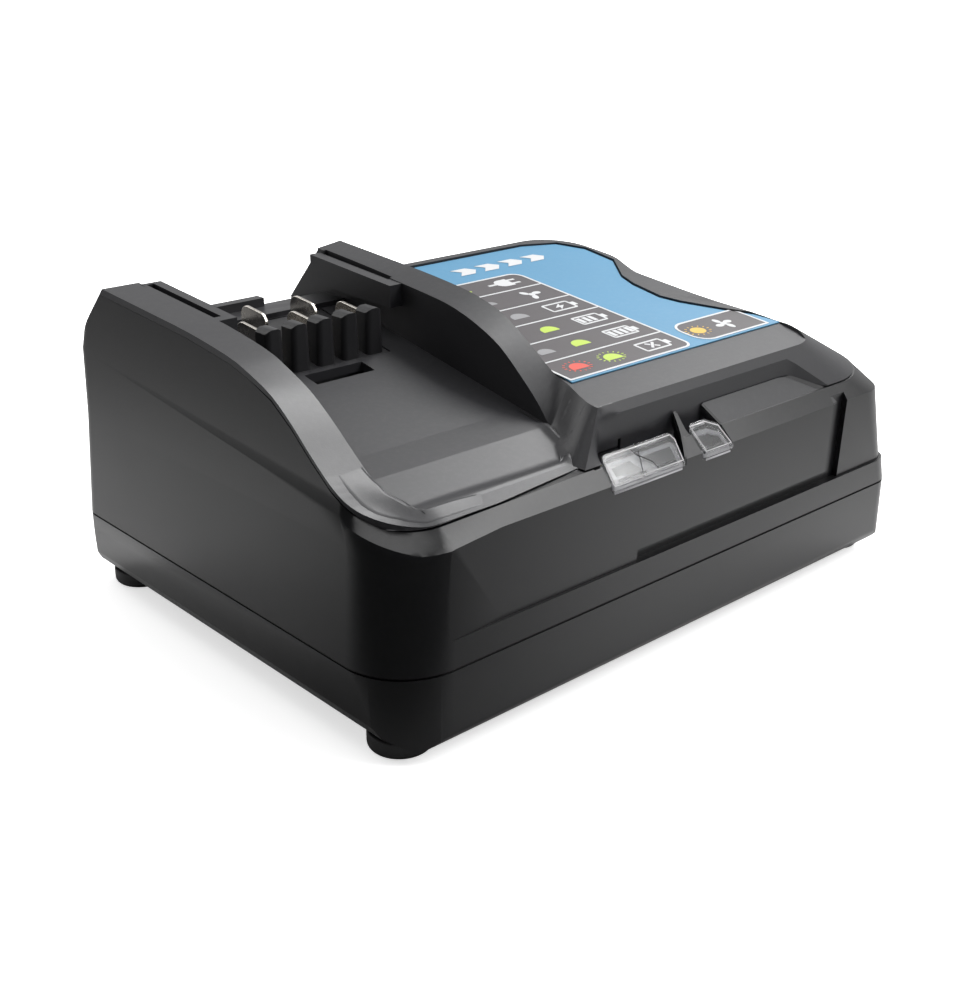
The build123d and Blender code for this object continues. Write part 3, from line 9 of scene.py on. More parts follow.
import bmesh
import bpy
from bpy.props import FloatProperty, FloatVectorProperty, IntProperty, PointerProperty
from mathutils import Matrix, Vector
from mathutils.bvhtree import BVHTree


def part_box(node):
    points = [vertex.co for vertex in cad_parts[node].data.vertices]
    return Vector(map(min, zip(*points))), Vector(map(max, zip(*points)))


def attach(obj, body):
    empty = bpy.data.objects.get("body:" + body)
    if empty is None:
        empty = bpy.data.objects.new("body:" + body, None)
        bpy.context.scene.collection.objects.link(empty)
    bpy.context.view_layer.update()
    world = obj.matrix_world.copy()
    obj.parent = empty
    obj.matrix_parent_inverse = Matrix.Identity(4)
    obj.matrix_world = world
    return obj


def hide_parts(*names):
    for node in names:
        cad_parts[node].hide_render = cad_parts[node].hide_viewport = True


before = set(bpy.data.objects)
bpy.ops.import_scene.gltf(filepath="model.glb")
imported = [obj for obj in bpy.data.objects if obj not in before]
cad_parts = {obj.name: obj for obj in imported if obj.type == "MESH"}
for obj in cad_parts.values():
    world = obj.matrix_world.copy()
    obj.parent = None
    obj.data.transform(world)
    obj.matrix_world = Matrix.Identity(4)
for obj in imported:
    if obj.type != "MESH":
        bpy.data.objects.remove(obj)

bl_info = {
    "name": "Desk-top tool battery charger",
    "version": (1, 1, 0),
    "blender": (4, 5, 0),
    "location": "3D View > Sidebar > Charger",
    "description": "Dresses the packed charger with detailed pieces and materials",
    "category": "Object",
}

MM = 0.001
CASE = "case"
ROTOR = "rotor"

# The camera stands here, from the case's left front corner at the parting plane.
CAMERA_AT_MM = (-153.74, -198.26, 148.99)

# The deck plane that the label lies in, in the same frame.
DECK_FRONT_Y, DECK_FRONT_Z, DECK_TILT, FILM_MM = 11.4, 45.3, 0.107, 0.4

# The sunk shelf that the lamp windows lie on.
SHELF_FRONT_Z, SHELF_SLOPE = 28.45, 1.06


# ---- places ----
# The left front corner of the case, on the plane where its two halves part.
CORNER = Vector(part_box("upper_housing")[0])


def at(x, y, z):
    """A point given in millimetres from the case's corner."""
    return CORNER + Vector((x, y, z)) * MM


def on_deck(x, y, height):
    """A point over the label film, by its plan position and its height above the film."""
    return at(x, y, DECK_FRONT_Z + DECK_TILT * (y - DECK_FRONT_Y) + FILM_MM + height)


def on_shelf(x, y, height):
    return at(x, y, SHELF_FRONT_Z + SHELF_SLOPE * y + height)


# ---- settings ----
def colour_property(name, description, default):
    return FloatVectorProperty(name=name, description=description, default=default, subtype="COLOR",
                               min=0.0, max=1.0)


def length_property(name, description, millimetres):
    return FloatProperty(name=name, description=description, default=millimetres * MM, unit="LENGTH",
                         min=0.0, precision=5)


def share_property(name, description, default):
    return FloatProperty(name=name, description=description, default=default, subtype="FACTOR",
                         min=0.0, max=1.0)


def power_property(name, description, watts):
    return FloatProperty(name=name, description=description, default=watts, min=0.0, unit="POWER")


class ChargerCase(bpy.types.PropertyGroup):
    """Colours and edges of the three case mouldings."""
    body_colour: colour_property("Case colour", "Plastic of the base and the walls", (0.0055, 0.0055, 0.0065))
    cover_colour: colour_property("Cover colour", "Plastic of the top cover", (0.024, 0.024, 0.027))
    body_gloss: share_property("Case roughness", "Roughness of the base and the walls", 0.30)
    cover_gloss: share_property("Cover roughness", "Roughness of the top cover", 0.42)
    body_round: length_property("Case edge", "Rounding of the edges of base and walls", 0.6)
    cover_round: length_property("Cover edge", "Rounding of the edges of the cover", 0.8)


class ChargerLabel(bpy.types.PropertyGroup):
    """Colours and sizes of the printed label."""
    film_colour: colour_property("Film", "Ground colour of the film", (0.060, 0.235, 0.40))
    panel_colour: colour_property("Panel", "Ground of the status table", (0.055, 0.048, 0.052))
    ink_height: length_property("Ink height", "Thickness of each layer of ink", 0.05)
    line_width: length_property("Line width", "Width of the frame lines", 0.75)
    row_pitch: length_property("Row pitch", "Height of one row of the table", 11.65)
    rows: IntProperty(name="Rows", description="Rows in the status table", default=6, min=1, max=6)


class ChargerLamps(bpy.types.PropertyGroup):
    """Colours of the lamp windows."""
    lens_colour: colour_property("Window colour", "Clear plastic of the windows", (0.86, 0.87, 0.88))
    lens_haze: share_property("Window haze", "Roughness of the window plastic", 0.07)
    # Painted highlight: the pale beads along the window edges stand in for the light that the clear edges
    # catch.
    window_highlight_colour: colour_property("Rim colour", "Bright edges of the windows", (0.55, 0.54, 0.55))
    reflector_colour: colour_property("Reflector colour", "Pale plastic behind the windows",
                                      (0.42, 0.41, 0.43))
    reflector_depth: length_property("Reflector depth", "Depth of the reflectors below the shelf", 2.15)


class ChargerStudio(bpy.types.PropertyGroup):
    """Camera and light."""
    azimuth: FloatProperty(name="Azimuth", description="Direction the camera looks from",
                           default=math.radians(-42.167), subtype="ANGLE")
    elevation: FloatProperty(name="Elevation", description="Height angle of the camera",
                             default=math.radians(22.584), subtype="ANGLE")
    focal_share: FloatProperty(name="Focal length", description="Focal length as a share of the longer side",
                               default=1.3642, min=0.1)
    key_power: power_property("Key light", "Power of the large lamp overhead", 3.0)
    side_power: power_property("Side light", "Power of the lamp at the right", 8.0)
    front_power: power_property("Front light", "Power of the lamp at the right, in front", 5.0)
    back_power: power_property("Back light", "Power of the strip behind", 2.0)
    surround: FloatProperty(name="Surround", description="Strength of the white round the object",
                            default=0.65, min=0.0)
    camera_side: FloatProperty(name="Camera side", description="Strength of the surround behind the camera",
                               default=0.06, min=0.0)


# ---- node helpers ----
def feed(tree, node, inputs):
    """Gives each input its value, or joins it to the socket that feeds it."""
    for name, value in inputs.items():
        if isinstance(value, bpy.types.NodeSocket):
            tree.links.new(value, node.inputs[name])
        else:
            node.inputs[name].default_value = value


def make(tree, kind, inputs=None, **values):
    """Adds a node with its properties and inputs, and gives its outputs."""
    node = tree.nodes.new(kind)
    for name, value in values.items():
        setattr(node, name, value)
    feed(tree, node, inputs or {})
    return node.outputs


def effect(inputs, outputs):
    """Makes a filling function give its node group, which is built when it is first asked for."""
    def kept(fill):
        def group():
            name = fill.__name__
            if name not in bpy.data.node_groups:
                tree = bpy.data.node_groups.new(name, "ShaderNodeTree")
                for label, default in inputs.items():
                    socket = tree.interface.new_socket(name=label, in_out="INPUT",
                                                       socket_type="NodeSocketFloat")
                    socket.default_value = default
                for label in outputs:
                    tree.interface.new_socket(name=label, in_out="OUTPUT", socket_type="NodeSocketFloat")
                given = tree.nodes.new("NodeGroupInput").outputs
                end = tree.nodes.new("NodeGroupOutput")
                feed(tree, end, fill(tree, given))
            return bpy.data.node_groups[name]
        return group
    return kept


@effect({"Grain per metre": 2600.0, "Patch per metre": 28.0, "Roughness": 0.4, "Spread": 0.08},
        ("Height", "Roughness", "Patches"))
def moulded_grain(tree, given):
    """Fine moulded texture: a pebbled height and slow patches of gloss."""
    place = make(tree, "ShaderNodeTexCoord")["Object"]
    grain = make(tree, "ShaderNodeTexNoise", {"Detail": 3.0, "Roughness": 0.6, "Vector": place,
                                              "Scale": given["Grain per metre"]})["Fac"]
    patches = make(tree, "ShaderNodeTexNoise", {"Detail": 4.0, "Vector": place,
                                                "Scale": given["Patch per metre"]})["Fac"]
    centred = make(tree, "ShaderNodeMath", {0: patches, 1: 0.5}, operation="SUBTRACT")["Value"]
    gloss = make(tree, "ShaderNodeMath", {0: centred, 1: given["Spread"], 2: given["Roughness"]},
                 operation="MULTIPLY_ADD")["Value"]
    return {"Height": grain, "Roughness": gloss, "Patches": patches}


@effect({"Amount": 0.05, "Specks per metre": 700.0}, ("Mask",))
def settled_dust(tree, given):
    """A light film that settles on faces that look up, broken into faint specks."""
    place = make(tree, "ShaderNodeTexCoord")
    facing_up = make(tree, "ShaderNodeSeparateXYZ", {"Vector": place["Normal"]})["Z"]
    upward = make(tree, "ShaderNodeMapRange",
                  {"Value": facing_up, "From Min": 0.3, "From Max": 1.0})["Result"]
    specks = make(tree, "ShaderNodeTexNoise", {"Detail": 5.0, "Vector": place["Object"],
                                               "Scale": given["Specks per metre"]})["Fac"]
    sharp = make(tree, "ShaderNodeMapRange", {"Value": specks, "From Min": 0.45, "From Max": 0.8})["Result"]
    lit = make(tree, "ShaderNodeMath", {0: upward, 1: sharp}, operation="MULTIPLY")["Value"]
    return {"Mask": make(tree, "ShaderNodeMath", {0: lit, 1: given["Amount"]}, operation="MULTIPLY")["Value"]}


@effect({"Lines per metre": 9000.0, "Roughness": 0.25}, ("Height", "Roughness", "Stain"))
def drawn_lines(tree, given):
    """Fine lines drawn along Y, with slow stains, as on stamped metal."""
    place = make(tree, "ShaderNodeTexCoord")["Object"]
    stretched = make(tree, "ShaderNodeMapping", {"Scale": (1.0, 0.04, 1.0), "Vector": place})["Vector"]
    lines = make(tree, "ShaderNodeTexNoise", {"Detail": 2.0, "Vector": stretched,
                                              "Scale": given["Lines per metre"]})["Fac"]
    stain = make(tree, "ShaderNodeTexNoise", {"Scale": 260.0, "Detail": 5.0, "Vector": place})["Fac"]
    gloss = make(tree, "ShaderNodeMath", {0: stain, 1: 0.25, 2: given["Roughness"]},
                 operation="MULTIPLY_ADD")["Value"]
    return {"Height": lines, "Roughness": gloss, "Stain": stain}


@effect({"Turns per metre": 1500.0, "Wander": 1.5}, ("Height", "Mask"))
def wound_turns(tree, given):
    """Turns of wire or tape, one above the other, with a little wander."""
    place = make(tree, "ShaderNodeTexCoord")["Object"]
    turns = make(tree, "ShaderNodeTexWave",
                 {"Detail": 2.0, "Detail Scale": 1.5, "Vector": place, "Scale": given["Turns per metre"],
                  "Distortion": given["Wander"]}, wave_type="BANDS", bands_direction="Z")["Fac"]
    sharp = make(tree, "ShaderNodeMapRange", {"Value": turns, "From Min": 0.15, "From Max": 0.6})["Result"]
    return {"Height": turns, "Mask": sharp}


@effect({"Cells per metre": 160.0, "Gap": 0.08}, ("Mask", "Height"))
def board_tracks(tree, given):
    """Copper tracks under solder mask: blocky cells with thin gaps."""
    place = make(tree, "ShaderNodeTexCoord")["Object"]
    edge = make(tree, "ShaderNodeTexVoronoi",
                {"Randomness": 0.85, "Vector": place, "Scale": given["Cells per metre"]},
                distance="MANHATTAN", feature="DISTANCE_TO_EDGE")["Distance"]
    inside = make(tree, "ShaderNodeMath", {0: edge, 1: given["Gap"]}, operation="GREATER_THAN")["Value"]
    return {"Mask": inside, "Height": inside}


# ---- materials ----
DUST_COLOUR = (0.55, 0.54, 0.52, 1)
STAINED, METAL_RELIEF = 0.72, 0.05      # brightness of stained metal, strength of its drawn lines
ACRYLIC_IOR = 1.49


def painted(fill):
    """Makes a function that fills a shader's tree give the material of a name, built once."""
    def material(name, *values, **named):
        if name not in bpy.data.materials:
            bpy.data.materials.new(name).use_nodes = True
            tree = bpy.data.materials[name].node_tree
            fill(tree, tree.nodes["Principled BSDF"], *values, **named)
        return bpy.data.materials[name]
    return material


def placed(tree, group, inputs):
    """Places an effect's group in a material, with its own values."""
    return make(tree, "ShaderNodeGroup", inputs, node_tree=group())


def mixed_colour(tree, low, high, mask):
    """A colour that runs between two colours with a mask."""
    return make(tree, "ShaderNodeMix", {"Factor": mask, "A": (*low, 1), "B": (*high, 1)},
                data_type="RGBA")["Result"]


def relief(tree, height, strength, distance_mm=0.1):
    return make(tree, "ShaderNodeBump",
                {"Strength": strength, "Distance": distance_mm * MM, "Height": height})["Normal"]


@painted
def plastic(tree, shader, colour, roughness, spread=0.08, grain=2600.0, bump=0.06, dust=0.03, tint=0.2):
    """Moulded plastic: fine grain, patches of gloss, a slow drift of tone and a trace of dust."""
    texture = placed(tree, moulded_grain,
                     {"Grain per metre": grain, "Roughness": roughness, "Spread": spread})
    base = mixed_colour(tree, [c * (1 - tint) for c in colour], [min(c * (1 + tint), 1) for c in colour],
                        texture["Patches"])
    film = placed(tree, settled_dust, {"Amount": dust})
    dusted = make(tree, "ShaderNodeMix", {"Factor": film["Mask"], "A": base, "B": DUST_COLOUR},
                  data_type="RGBA")["Result"]
    feed(tree, shader, {"Base Color": dusted, "Roughness": texture["Roughness"],
                        "Normal": relief(tree, texture["Height"], bump)})


@painted
def metal(tree, shader, colour, roughness):
    """Plated or drawn metal with fine lines and slow stains."""
    drawn = placed(tree, drawn_lines, {"Roughness": roughness})
    base = mixed_colour(tree, [c * STAINED for c in colour], colour, drawn["Stain"])
    feed(tree, shader, {"Base Color": base, "Roughness": drawn["Roughness"], "Metallic": 1.0,
                        "Normal": relief(tree, drawn["Height"], METAL_RELIEF)})


@painted
def clear_plastic(tree, shader, colour, roughness=0.08, transmission=0.9):
    """Clear or milky moulded window."""
    texture = placed(tree, moulded_grain,
                     {"Grain per metre": 900.0, "Roughness": roughness, "Spread": 0.06})
    base = mixed_colour(tree, [c * 0.9 for c in colour], colour, texture["Patches"])
    feed(tree, shader, {"Base Color": base, "Roughness": texture["Roughness"],
                        "Transmission Weight": transmission, "IOR": ACRYLIC_IOR})


@painted
def wound(tree, shader, low, high, turns, roughness, metallic=0.0):
    """Wire or tape laid in turns."""
    coil = placed(tree, wound_turns, {"Turns per metre": turns})
    feed(tree, shader, {"Base Color": mixed_colour(tree, low, high, coil["Mask"]),
                        "Roughness": roughness, "Metallic": metallic,
                        "Normal": relief(tree, coil["Height"], 0.5, 0.3)})


@painted
def board(tree, shader, mask_colour, track_colour):
    """Circuit board: tracks that show through the solder mask."""
    tracks = placed(tree, board_tracks, {})
    feed(tree, shader, {"Base Color": mixed_colour(tree, mask_colour, track_colour, tracks["Mask"]),
                        "Roughness": 0.35, "Normal": relief(tree, tracks["Height"], 0.3, 0.05)})


# ---- mesh helpers ----
def object_from(name, data):
    piece = bpy.data.objects.new(name, data)
    bpy.context.scene.collection.objects.link(piece)
    return piece


def finish_piece(piece, slot, material, *replaced, body=CASE):
    """Gives a new piece its material and body, and hides the CAD nodes that it stands for; the slot is not
    used.
    """
    piece.data.materials.clear()
    piece.data.materials.append(material)
    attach(piece, body)
    if replaced:
        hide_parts(*replaced)
    return piece


def smooth_by_angle(mesh, degrees_limit):
    """Smooth shading, with hard edges where two faces meet at more than the limit."""
    mesh.shade_smooth()
    working = bmesh.new()
    working.from_mesh(mesh)
    limit = math.radians(degrees_limit)
    for edge in working.edges:
        edge.smooth = len(edge.link_faces) == 2 and edge.calc_face_angle(0.0) < limit
    working.to_mesh(mesh)
    working.free()


def round_edges(piece, width, segments, degrees_limit):
    bevel = piece.modifiers.new("rounded_edges", "BEVEL")
    bevel.width, bevel.segments = width, segments
    bevel.limit_method, bevel.angle_limit = "ANGLE", math.radians(degrees_limit)
    bevel.harden_normals = True
    return piece


# In degrees: faces within FLAT are one face, edges over SMOOTH_BELOW stay crisp, and edges over
# ROUND_FROM are rounded.
FLAT, SMOOTH_BELOW, ROUND_FROM = 0.6, 24.0, 28.0


def softened(node, name, width, segments=3, reshape=None):
    """A copy of a CAD node's mesh, cleaned to flat faces, reshaped, with every sharp edge rounded."""
    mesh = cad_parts[node].data.copy()
    mesh.name = name
    working = bmesh.new()
    working.from_mesh(mesh)
    bmesh.ops.remove_doubles(working, verts=working.verts, dist=1e-6)
    bmesh.ops.dissolve_limit(working, angle_limit=math.radians(FLAT), verts=working.verts,
                             edges=working.edges, delimit={"NORMAL"})
    if reshape:
        reshape(working)
    working.to_mesh(mesh)
    working.free()
    smooth_by_angle(mesh, SMOOTH_BELOW)
    piece = object_from(name, mesh)
    return round_edges(piece, width, segments, ROUND_FROM)


def dress(node, name, slot, material, round_mm, body=CASE, segments=2):
    """Shows a rounded copy of a CAD node in its place."""
    return finish_piece(softened(node, name, round_mm * MM, segments), slot, material, node, body=body)


def filled(name, shapes, depth_mm, place):
    """Thin solid pieces: each shape is its outer loop and any holes, laid out by place(x, y, height)."""
    whole = bmesh.new()
    for shape in shapes:
        curve = bpy.data.curves.new(name, "CURVE")
        curve.dimensions = "2D"
        curve.fill_mode = "BOTH"
        curve.extrude = depth_mm / 2
        for loop in shape:
            spline = curve.splines.new("POLY")
            spline.points.add(len(loop) - 1)
            for point, (x, y) in zip(spline.points, loop):
                point.co = (x, y, 0, 1)
            spline.use_cyclic_u = True
        holder = bpy.data.objects.new(name, curve)
        part = bpy.data.meshes.new_from_object(holder)
        for vertex in part.vertices:
            vertex.co = place(vertex.co.x, vertex.co.y, vertex.co.z + depth_mm / 2)
        whole.from_mesh(part)
        bpy.data.objects.remove(holder)
        bpy.data.curves.remove(curve)
        bpy.data.meshes.remove(part)
    mesh = bpy.data.meshes.new(name)
    whole.to_mesh(mesh)
    whole.free()
    return object_from(name, mesh)


# ---- outlines, in millimetres ----
def arc(cx, cy, radius, start, end, steps=8, squash=1.0):
    """Points on an arc, angles in degrees."""
    angles = [math.radians(start + (end - start) * n / steps) for n in range(steps + 1)]
    return [(cx + radius * math.cos(a), cy + radius * squash * math.sin(a)) for a in angles]


def disc(cx, cy, radius, squash=1.0):
    return arc(cx, cy, radius, 0, 345, 23, squash)


def rounded_rect(x0, x1, y0, y1, radii):
    """Corners in the order right-back, left-back, left-front, right-front."""
    rb, lb, lf, rf = radii
    return (arc(x1 - rb, y1 - rb, rb, 0, 90) + arc(x0 + lb, y1 - lb, lb, 90, 180)
            + arc(x0 + lf, y0 + lf, lf, 180, 270) + arc(x1 - rf, y0 + rf, rf, 270, 360))


def frame_line(x0, x1, y0, y1, radii, width):
    """A rounded rectangle drawn as a line of some width, inside its outline."""
    inner = [max(r - width, 0.05) for r in radii]
    return [rounded_rect(x0, x1, y0, y1, radii),
            rounded_rect(x0 + width, x1 - width, y0 + width, y1 - width, inner)]


def bar(x0, y0, x1, y1, width):
    """A straight stroke."""
    along = Vector((x1 - x0, y1 - y0)).normalized() * width / 2
    side = Vector((-along.y, along.x))
    return [[(x0 + side.x, y0 + side.y), (x1 + side.x, y1 + side.y), (x1 - side.x, y1 - side.y),
             (x0 - side.x, y0 - side.y)]]


def moved(loops, cx, cy, scale=1.0):
    return [[(cx + x * scale, cy + y * scale) for x, y in loop] for loop in loops]


# ---- pictograms, about 10 by 6 mm round their centre ----
def plug_icon():
    body = arc(-0.6, 0, 2.3, 90, 270) + [(2.0, -2.3), (2.0, 2.3)]
    return [[body], bar(2.0, 1.2, 4.4, 1.2, 0.8), bar(2.0, -1.2, 4.4, -1.2, 0.8),
            bar(-2.7, 0, -5.4, 0, 0.9)]


def fan_icon(blades=3, size=1.0):
    shapes = [[disc(0, 0, 0.9 * size)]]
    for n in range(blades):
        turn = 2 * math.pi * n / blades
        blade = arc(1.9 * size, 0.45 * size, 1.35 * size, 0, 345, 15, 0.62)
        shapes.append([[(x * math.cos(turn) - y * math.sin(turn), x * math.sin(turn) + y * math.cos(turn))
                        for x, y in blade]])
    return shapes


def battery_icon(bars=0, extra=()):
    shell = frame_line(-4.6, 4.0, -2.5, 2.5, (0.7, 0.7, 0.7, 0.7), 0.6)
    shapes = [shell, bar(4.0, 0, 5.2, 0, 2.0)]
    for n in range(bars):
        x = -3.1 + n * 1.9
        shapes.append(bar(x, -1.5, x, 1.5, 1.25))
    return shapes + list(extra)


def bolt():
    return [[(0.9, 1.8), (-1.9, -0.3), (-0.4, -0.3), (-1.2, -1.8), (1.5, 0.4), (0.1, 0.4)]]


def cross():
    return [bar(-1.6, -1.2, 1.0, 1.4, 0.7), bar(-1.6, 1.4, -0.65, 0.45, 0.7),
            bar(0.05, -0.25, 1.0, -1.2, 0.7)]


def lamp():
    """A lamp seen from the side: a domed cap on a flat foot."""
    return [arc(0, -0.9, 2.9, 0, 180, 12, 0.95) + [(-2.9, -1.7), (2.9, -1.7)]]


def halo(count=16):
    """Short rays round a lamp that blinks."""
    rays = []
    for n in range(count):
        a = 2 * math.pi * n / count
        rays.append(bar(3.7 * math.cos(a), 3.7 * 0.72 * math.sin(a), 4.5 * math.cos(a),
                        4.5 * 0.72 * math.sin(a), 0.35))
    return rays


def at_each(shapes, cx, cy, scale=1.0):
    return [moved(loops, cx, cy, scale) for loops in shapes]


# ---- forms of the case mouldings ----
def in_mm(point):
    """A point's place in millimetres from the case's corner."""
    return (point - CORNER) / MM


def eased(value):
    value = min(max(value, 0.0), 1.0)
    return value * value * (3 - 2 * value)


# The bright step under the cover, at the near corner: the planes of its lower and upper edges, how far the
# upper edge stands back at most, and round which point.
STEP_LOW = (28.3, 0.32, 1.4)
STEP_TOP = (32.8, 0.28, 4.5)
STEP_CENTRE, STEP_REACH, STEP_DEPTH = (5.0, 8.0), 15.0, 3.4
SET_BACK = Vector((0.62, 0.684, -0.384))

# The wall's faces at that corner: those within this plan, and those about this point.
CUT_PLAN, CUT_CENTRE, CUT_REACH = (17, 24), Vector((5, 8, 25)), 16


def edge_height(plane, y):
    height, slope, start = plane
    return height + slope * (y - start)


def cut_step_edge(working):
    """Adds the crisp lower edge of the step to the wall."""
    def in_plan(vertex):
        x, y, _ = in_mm(vertex.co)
        return x < CUT_PLAN[0] and y < CUT_PLAN[1]

    near = [f for f in working.faces if all(in_plan(v) for v in f.verts)
            or (in_mm(f.calc_center_median()) - CUT_CENTRE).length < CUT_REACH]
    geometry = list({v for f in near for v in f.verts}) + list({e for f in near for e in f.edges}) + near
    bmesh.ops.bisect_plane(working, geom=geometry, dist=1e-7, plane_no=Vector((0, -STEP_LOW[1], 1)),
                           plane_co=at(0, STEP_LOW[2], STEP_LOW[0]))


def set_back_corner(working):
    """Leans the wall back above the step's lower edge, round the near corner."""
    for vertex in working.verts:
        x, y, z = in_mm(vertex.co)
        away = math.hypot(x - STEP_CENTRE[0], y - STEP_CENTRE[1])
        if away < STEP_REACH:
            low, top = edge_height(STEP_LOW, y), edge_height(STEP_TOP, y)
            share = min(max((z - low) / (top - low), 0.0), 1.0) * eased(1.15 * (1 - away / STEP_REACH))
            vertex.co += SET_BACK * (STEP_DEPTH * share * MM)


# The front end of the band beside the bay, where its faces run into each other softly.
SOFT_LOW, SOFT_HIGH, SOFT_KEEP, SOFT_ROUNDS = (61.0, 2.0, 33.3), (78.0, 24.0, 48.0), math.radians(72), 24

# The box round the near corner where the cover's faces are split before it is set back.
CORNER_LOW, CORNER_HIGH = (-1, -1, 31), (24, 26, 48)


def refine(working, low, high, longest):
    """Splits the faces that reach into a box until their edges there are short."""
    def inside(vertex):
        p = in_mm(vertex.co)
        return all(a < c < b for a, c, b in zip(low, p, high))

    for _ in range(7):
        faces = [f for f in working.faces if any(inside(v) for v in f.verts)]
        faces = bmesh.ops.triangulate(working, faces=faces)["faces"]
        long = [e for e in {e for f in faces for e in f.edges}
                if any(inside(v) for v in e.verts) and e.calc_length() > longest * MM]
        if not long:
            break
        bmesh.ops.subdivide_edges(working, edges=long, cuts=1)
    return [v for v in working.verts if inside(v)]


def soften_band_end(working):
    """Lets the faces at the band's front end flow into each other."""
    loose = refine(working, SOFT_LOW, SOFT_HIGH, 1.2)
    kept = {v for e in working.edges if len(e.link_faces) == 1 or e.calc_face_angle(0.0) > SOFT_KEEP
            for v in e.verts}
    loose = [v for v in loose if v not in kept]
    for _ in range(SOFT_ROUNDS):
        bmesh.ops.smooth_vert(working, verts=loose, factor=0.5, use_axis_x=True, use_axis_y=True,
                              use_axis_z=True)


def reshape_cover(working):
    refine(working, CORNER_LOW, CORNER_HIGH, 1.5)
    set_back_corner(working)
    soften_band_end(working)


def reshape_wall(working):
    cut_step_edge(working)
    set_back_corner(working)


def sheet(name, rows):
    """A skin through rows of points, each row as long as the next."""
    mesh = bpy.data.meshes.new(name)
    width = len(rows[0])
    faces = [(r * width + c, (r + 1) * width + c, (r + 1) * width + c + 1, r * width + c + 1)
             for r in range(len(rows) - 1) for c in range(width - 1)]
    mesh.from_pydata([p for row in rows for p in row], [], faces)
    mesh.shade_smooth()
    return object_from(name, mesh)


def along(table, value):
    """A value read off a table of (position, value) steps, positions falling."""
    for (p0, v0), (p1, v1) in zip(table, table[1:]):
        if value >= p1:
            share = min(max((p0 - value) / (p0 - p1), 0.0), 1.0)
            return v0 + (v1 - v0) * share
    return table[-1][1]


# The mouth of the battery bay: its left and right borders by depth, and its profile.
MOUTH_LEFT = [(36, 12.8), (20.6, 12.8), (19.2, 13.5), (17.6, 14.9), (15.5, 15.7), (8.6, 16.4), (6, 17.2)]
MOUTH_RIGHT = [(36, 68.9), (24.5, 68.7), (17.4, 66.9), (13.6, 63.9), (11.9, 63.0), (10.3, 62.2),
               (6, 61.4)]
MOUTH_PROFILE = [(36, 39.46), (25.3, 37.86), (24.9, 37.80), (24.5, 37.72), (24.1, 37.61), (13.2, 34.86),
                 (12.6, 34.74), (11.9, 34.68), (11.2, 34.72), (10.6, 34.82), (9.9, 34.92), (9.2, 34.88),
                 (6.0, 33.62)]
MOUTH_FILLET, MOUTH_RISE, RISE_FRONT, RISE_BACK = 2.6, 1.3, 7.5, 28
GROOVE_Y, GROOVE_HALF, GROOVE_FILL, GROOVE_FULL_X = 11.4, 2.2, 0.2, 20
MOUTH_BACK, MOUTH_ROWS, MOUTH_PITCH, MOUTH_COLUMNS, MOUTH_HEM = 36, 121, 0.25, 60, 0.8


def mouth_height(x, y):
    """Height of the bay's mouth: its profile, a rise at the right wall and a groove that starts shallow."""
    near_wall = eased(1 - (along(MOUTH_RIGHT, y) - x) / MOUTH_FILLET)
    rise = near_wall * MOUTH_RISE * eased((y - RISE_FRONT) / 3) * eased((RISE_BACK - y) / 6)
    leftward = 1 - eased((x - GROOVE_FULL_X) / 34)
    shallower = GROOVE_FILL * leftward * eased(1 - abs(y - GROOVE_Y) / GROOVE_HALF)
    return along(MOUTH_PROFILE, y) + rise + shallower


def build_mouth(material):
    rows = []
    for n in range(MOUTH_ROWS):
        y = MOUTH_BACK - n * MOUTH_PITCH
        left, right = along(MOUTH_LEFT, y), along(MOUTH_RIGHT, y)
        xs = [left + (right - left) * c / MOUTH_COLUMNS for c in range(MOUTH_COLUMNS + 1)]
        hems = [at(x, y, mouth_height(x, y) - MOUTH_HEM) for x in (left, right)]
        rows.append([hems[0]] + [at(x, y, mouth_height(x, y)) for x in xs] + [hems[1]])
    return finish_piece(sheet("bay_mouth", rows), "cover_grey", material)


# The sloping top of the tongue beside the windows, in plan.
TONGUE = [(108.9, 9.4), (141.0, 9.4), (143.6, 9.2), (145.5, 8.5), (156.6, 3.2), (157.6, 2.3),
          (158.0, 0.95), (113.4, 0.95), (111.6, 4.6)]
TONGUE_PROUD, TONGUE_ROUND, TONGUE_ROUND_FROM = 0.12, 0.5, 30.0
TONGUE_FOOT_BACK, TONGUE_FOOT_UP = 0.4, 0.6


def build_tongue(material):
    """A wedge whose top lies in the plane of the sunk shelf."""
    mesh = bpy.data.meshes.new("tongue_slope")
    working = bmesh.new()
    top = [working.verts.new(on_shelf(x, y, TONGUE_PROUD)) for x, y in TONGUE]
    foot = [working.verts.new(at(x, y + TONGUE_FOOT_BACK, SHELF_FRONT_Z + TONGUE_FOOT_UP)) for x, y in TONGUE]
    working.faces.new(top)
    working.faces.new(foot[::-1])
    for n in range(len(TONGUE)):
        m = (n + 1) % len(TONGUE)
        working.faces.new((top[n], foot[n], foot[m], top[m]))
    bmesh.ops.recalc_face_normals(working, faces=working.faces)
    working.to_mesh(mesh)
    working.free()
    mesh.shade_smooth()
    wedge = round_edges(object_from("tongue_slope", mesh), TONGUE_ROUND * MM, 3, TONGUE_ROUND_FROM)
    return finish_piece(wedge, "cover_grey", material)


# The flat band that wraps the near corner: its inner edge in plan, from the left side to the front.
BAND_INNER = [(13.0, 27.0), (13.0, 24.0), (13.05, 21.5), (13.5, 19.6), (14.6, 18.0), (15.5, 16.0),
              (15.9, 13.5), (16.3, 11.0), (17.2, 9.4), (19.5, 9.0), (24.0, 8.9), (30.0, 8.9), (36.0, 8.9)]
BAND_REACH, BAND_STEP, BAND_PROUD, BAND_SUNK = 8.0, 0.42, 0.16, 0.1
BAND_COLUMNS = 12
BAND_HEM, BAND_TUCK, BAND_SPLITS = 0.9, 0.28, 4

# The band ends where the cover drops by DROP within DROP_AHEAD.
DROP_AHEAD, DROP, STRIDE = 1.2, 0.6, 0.2


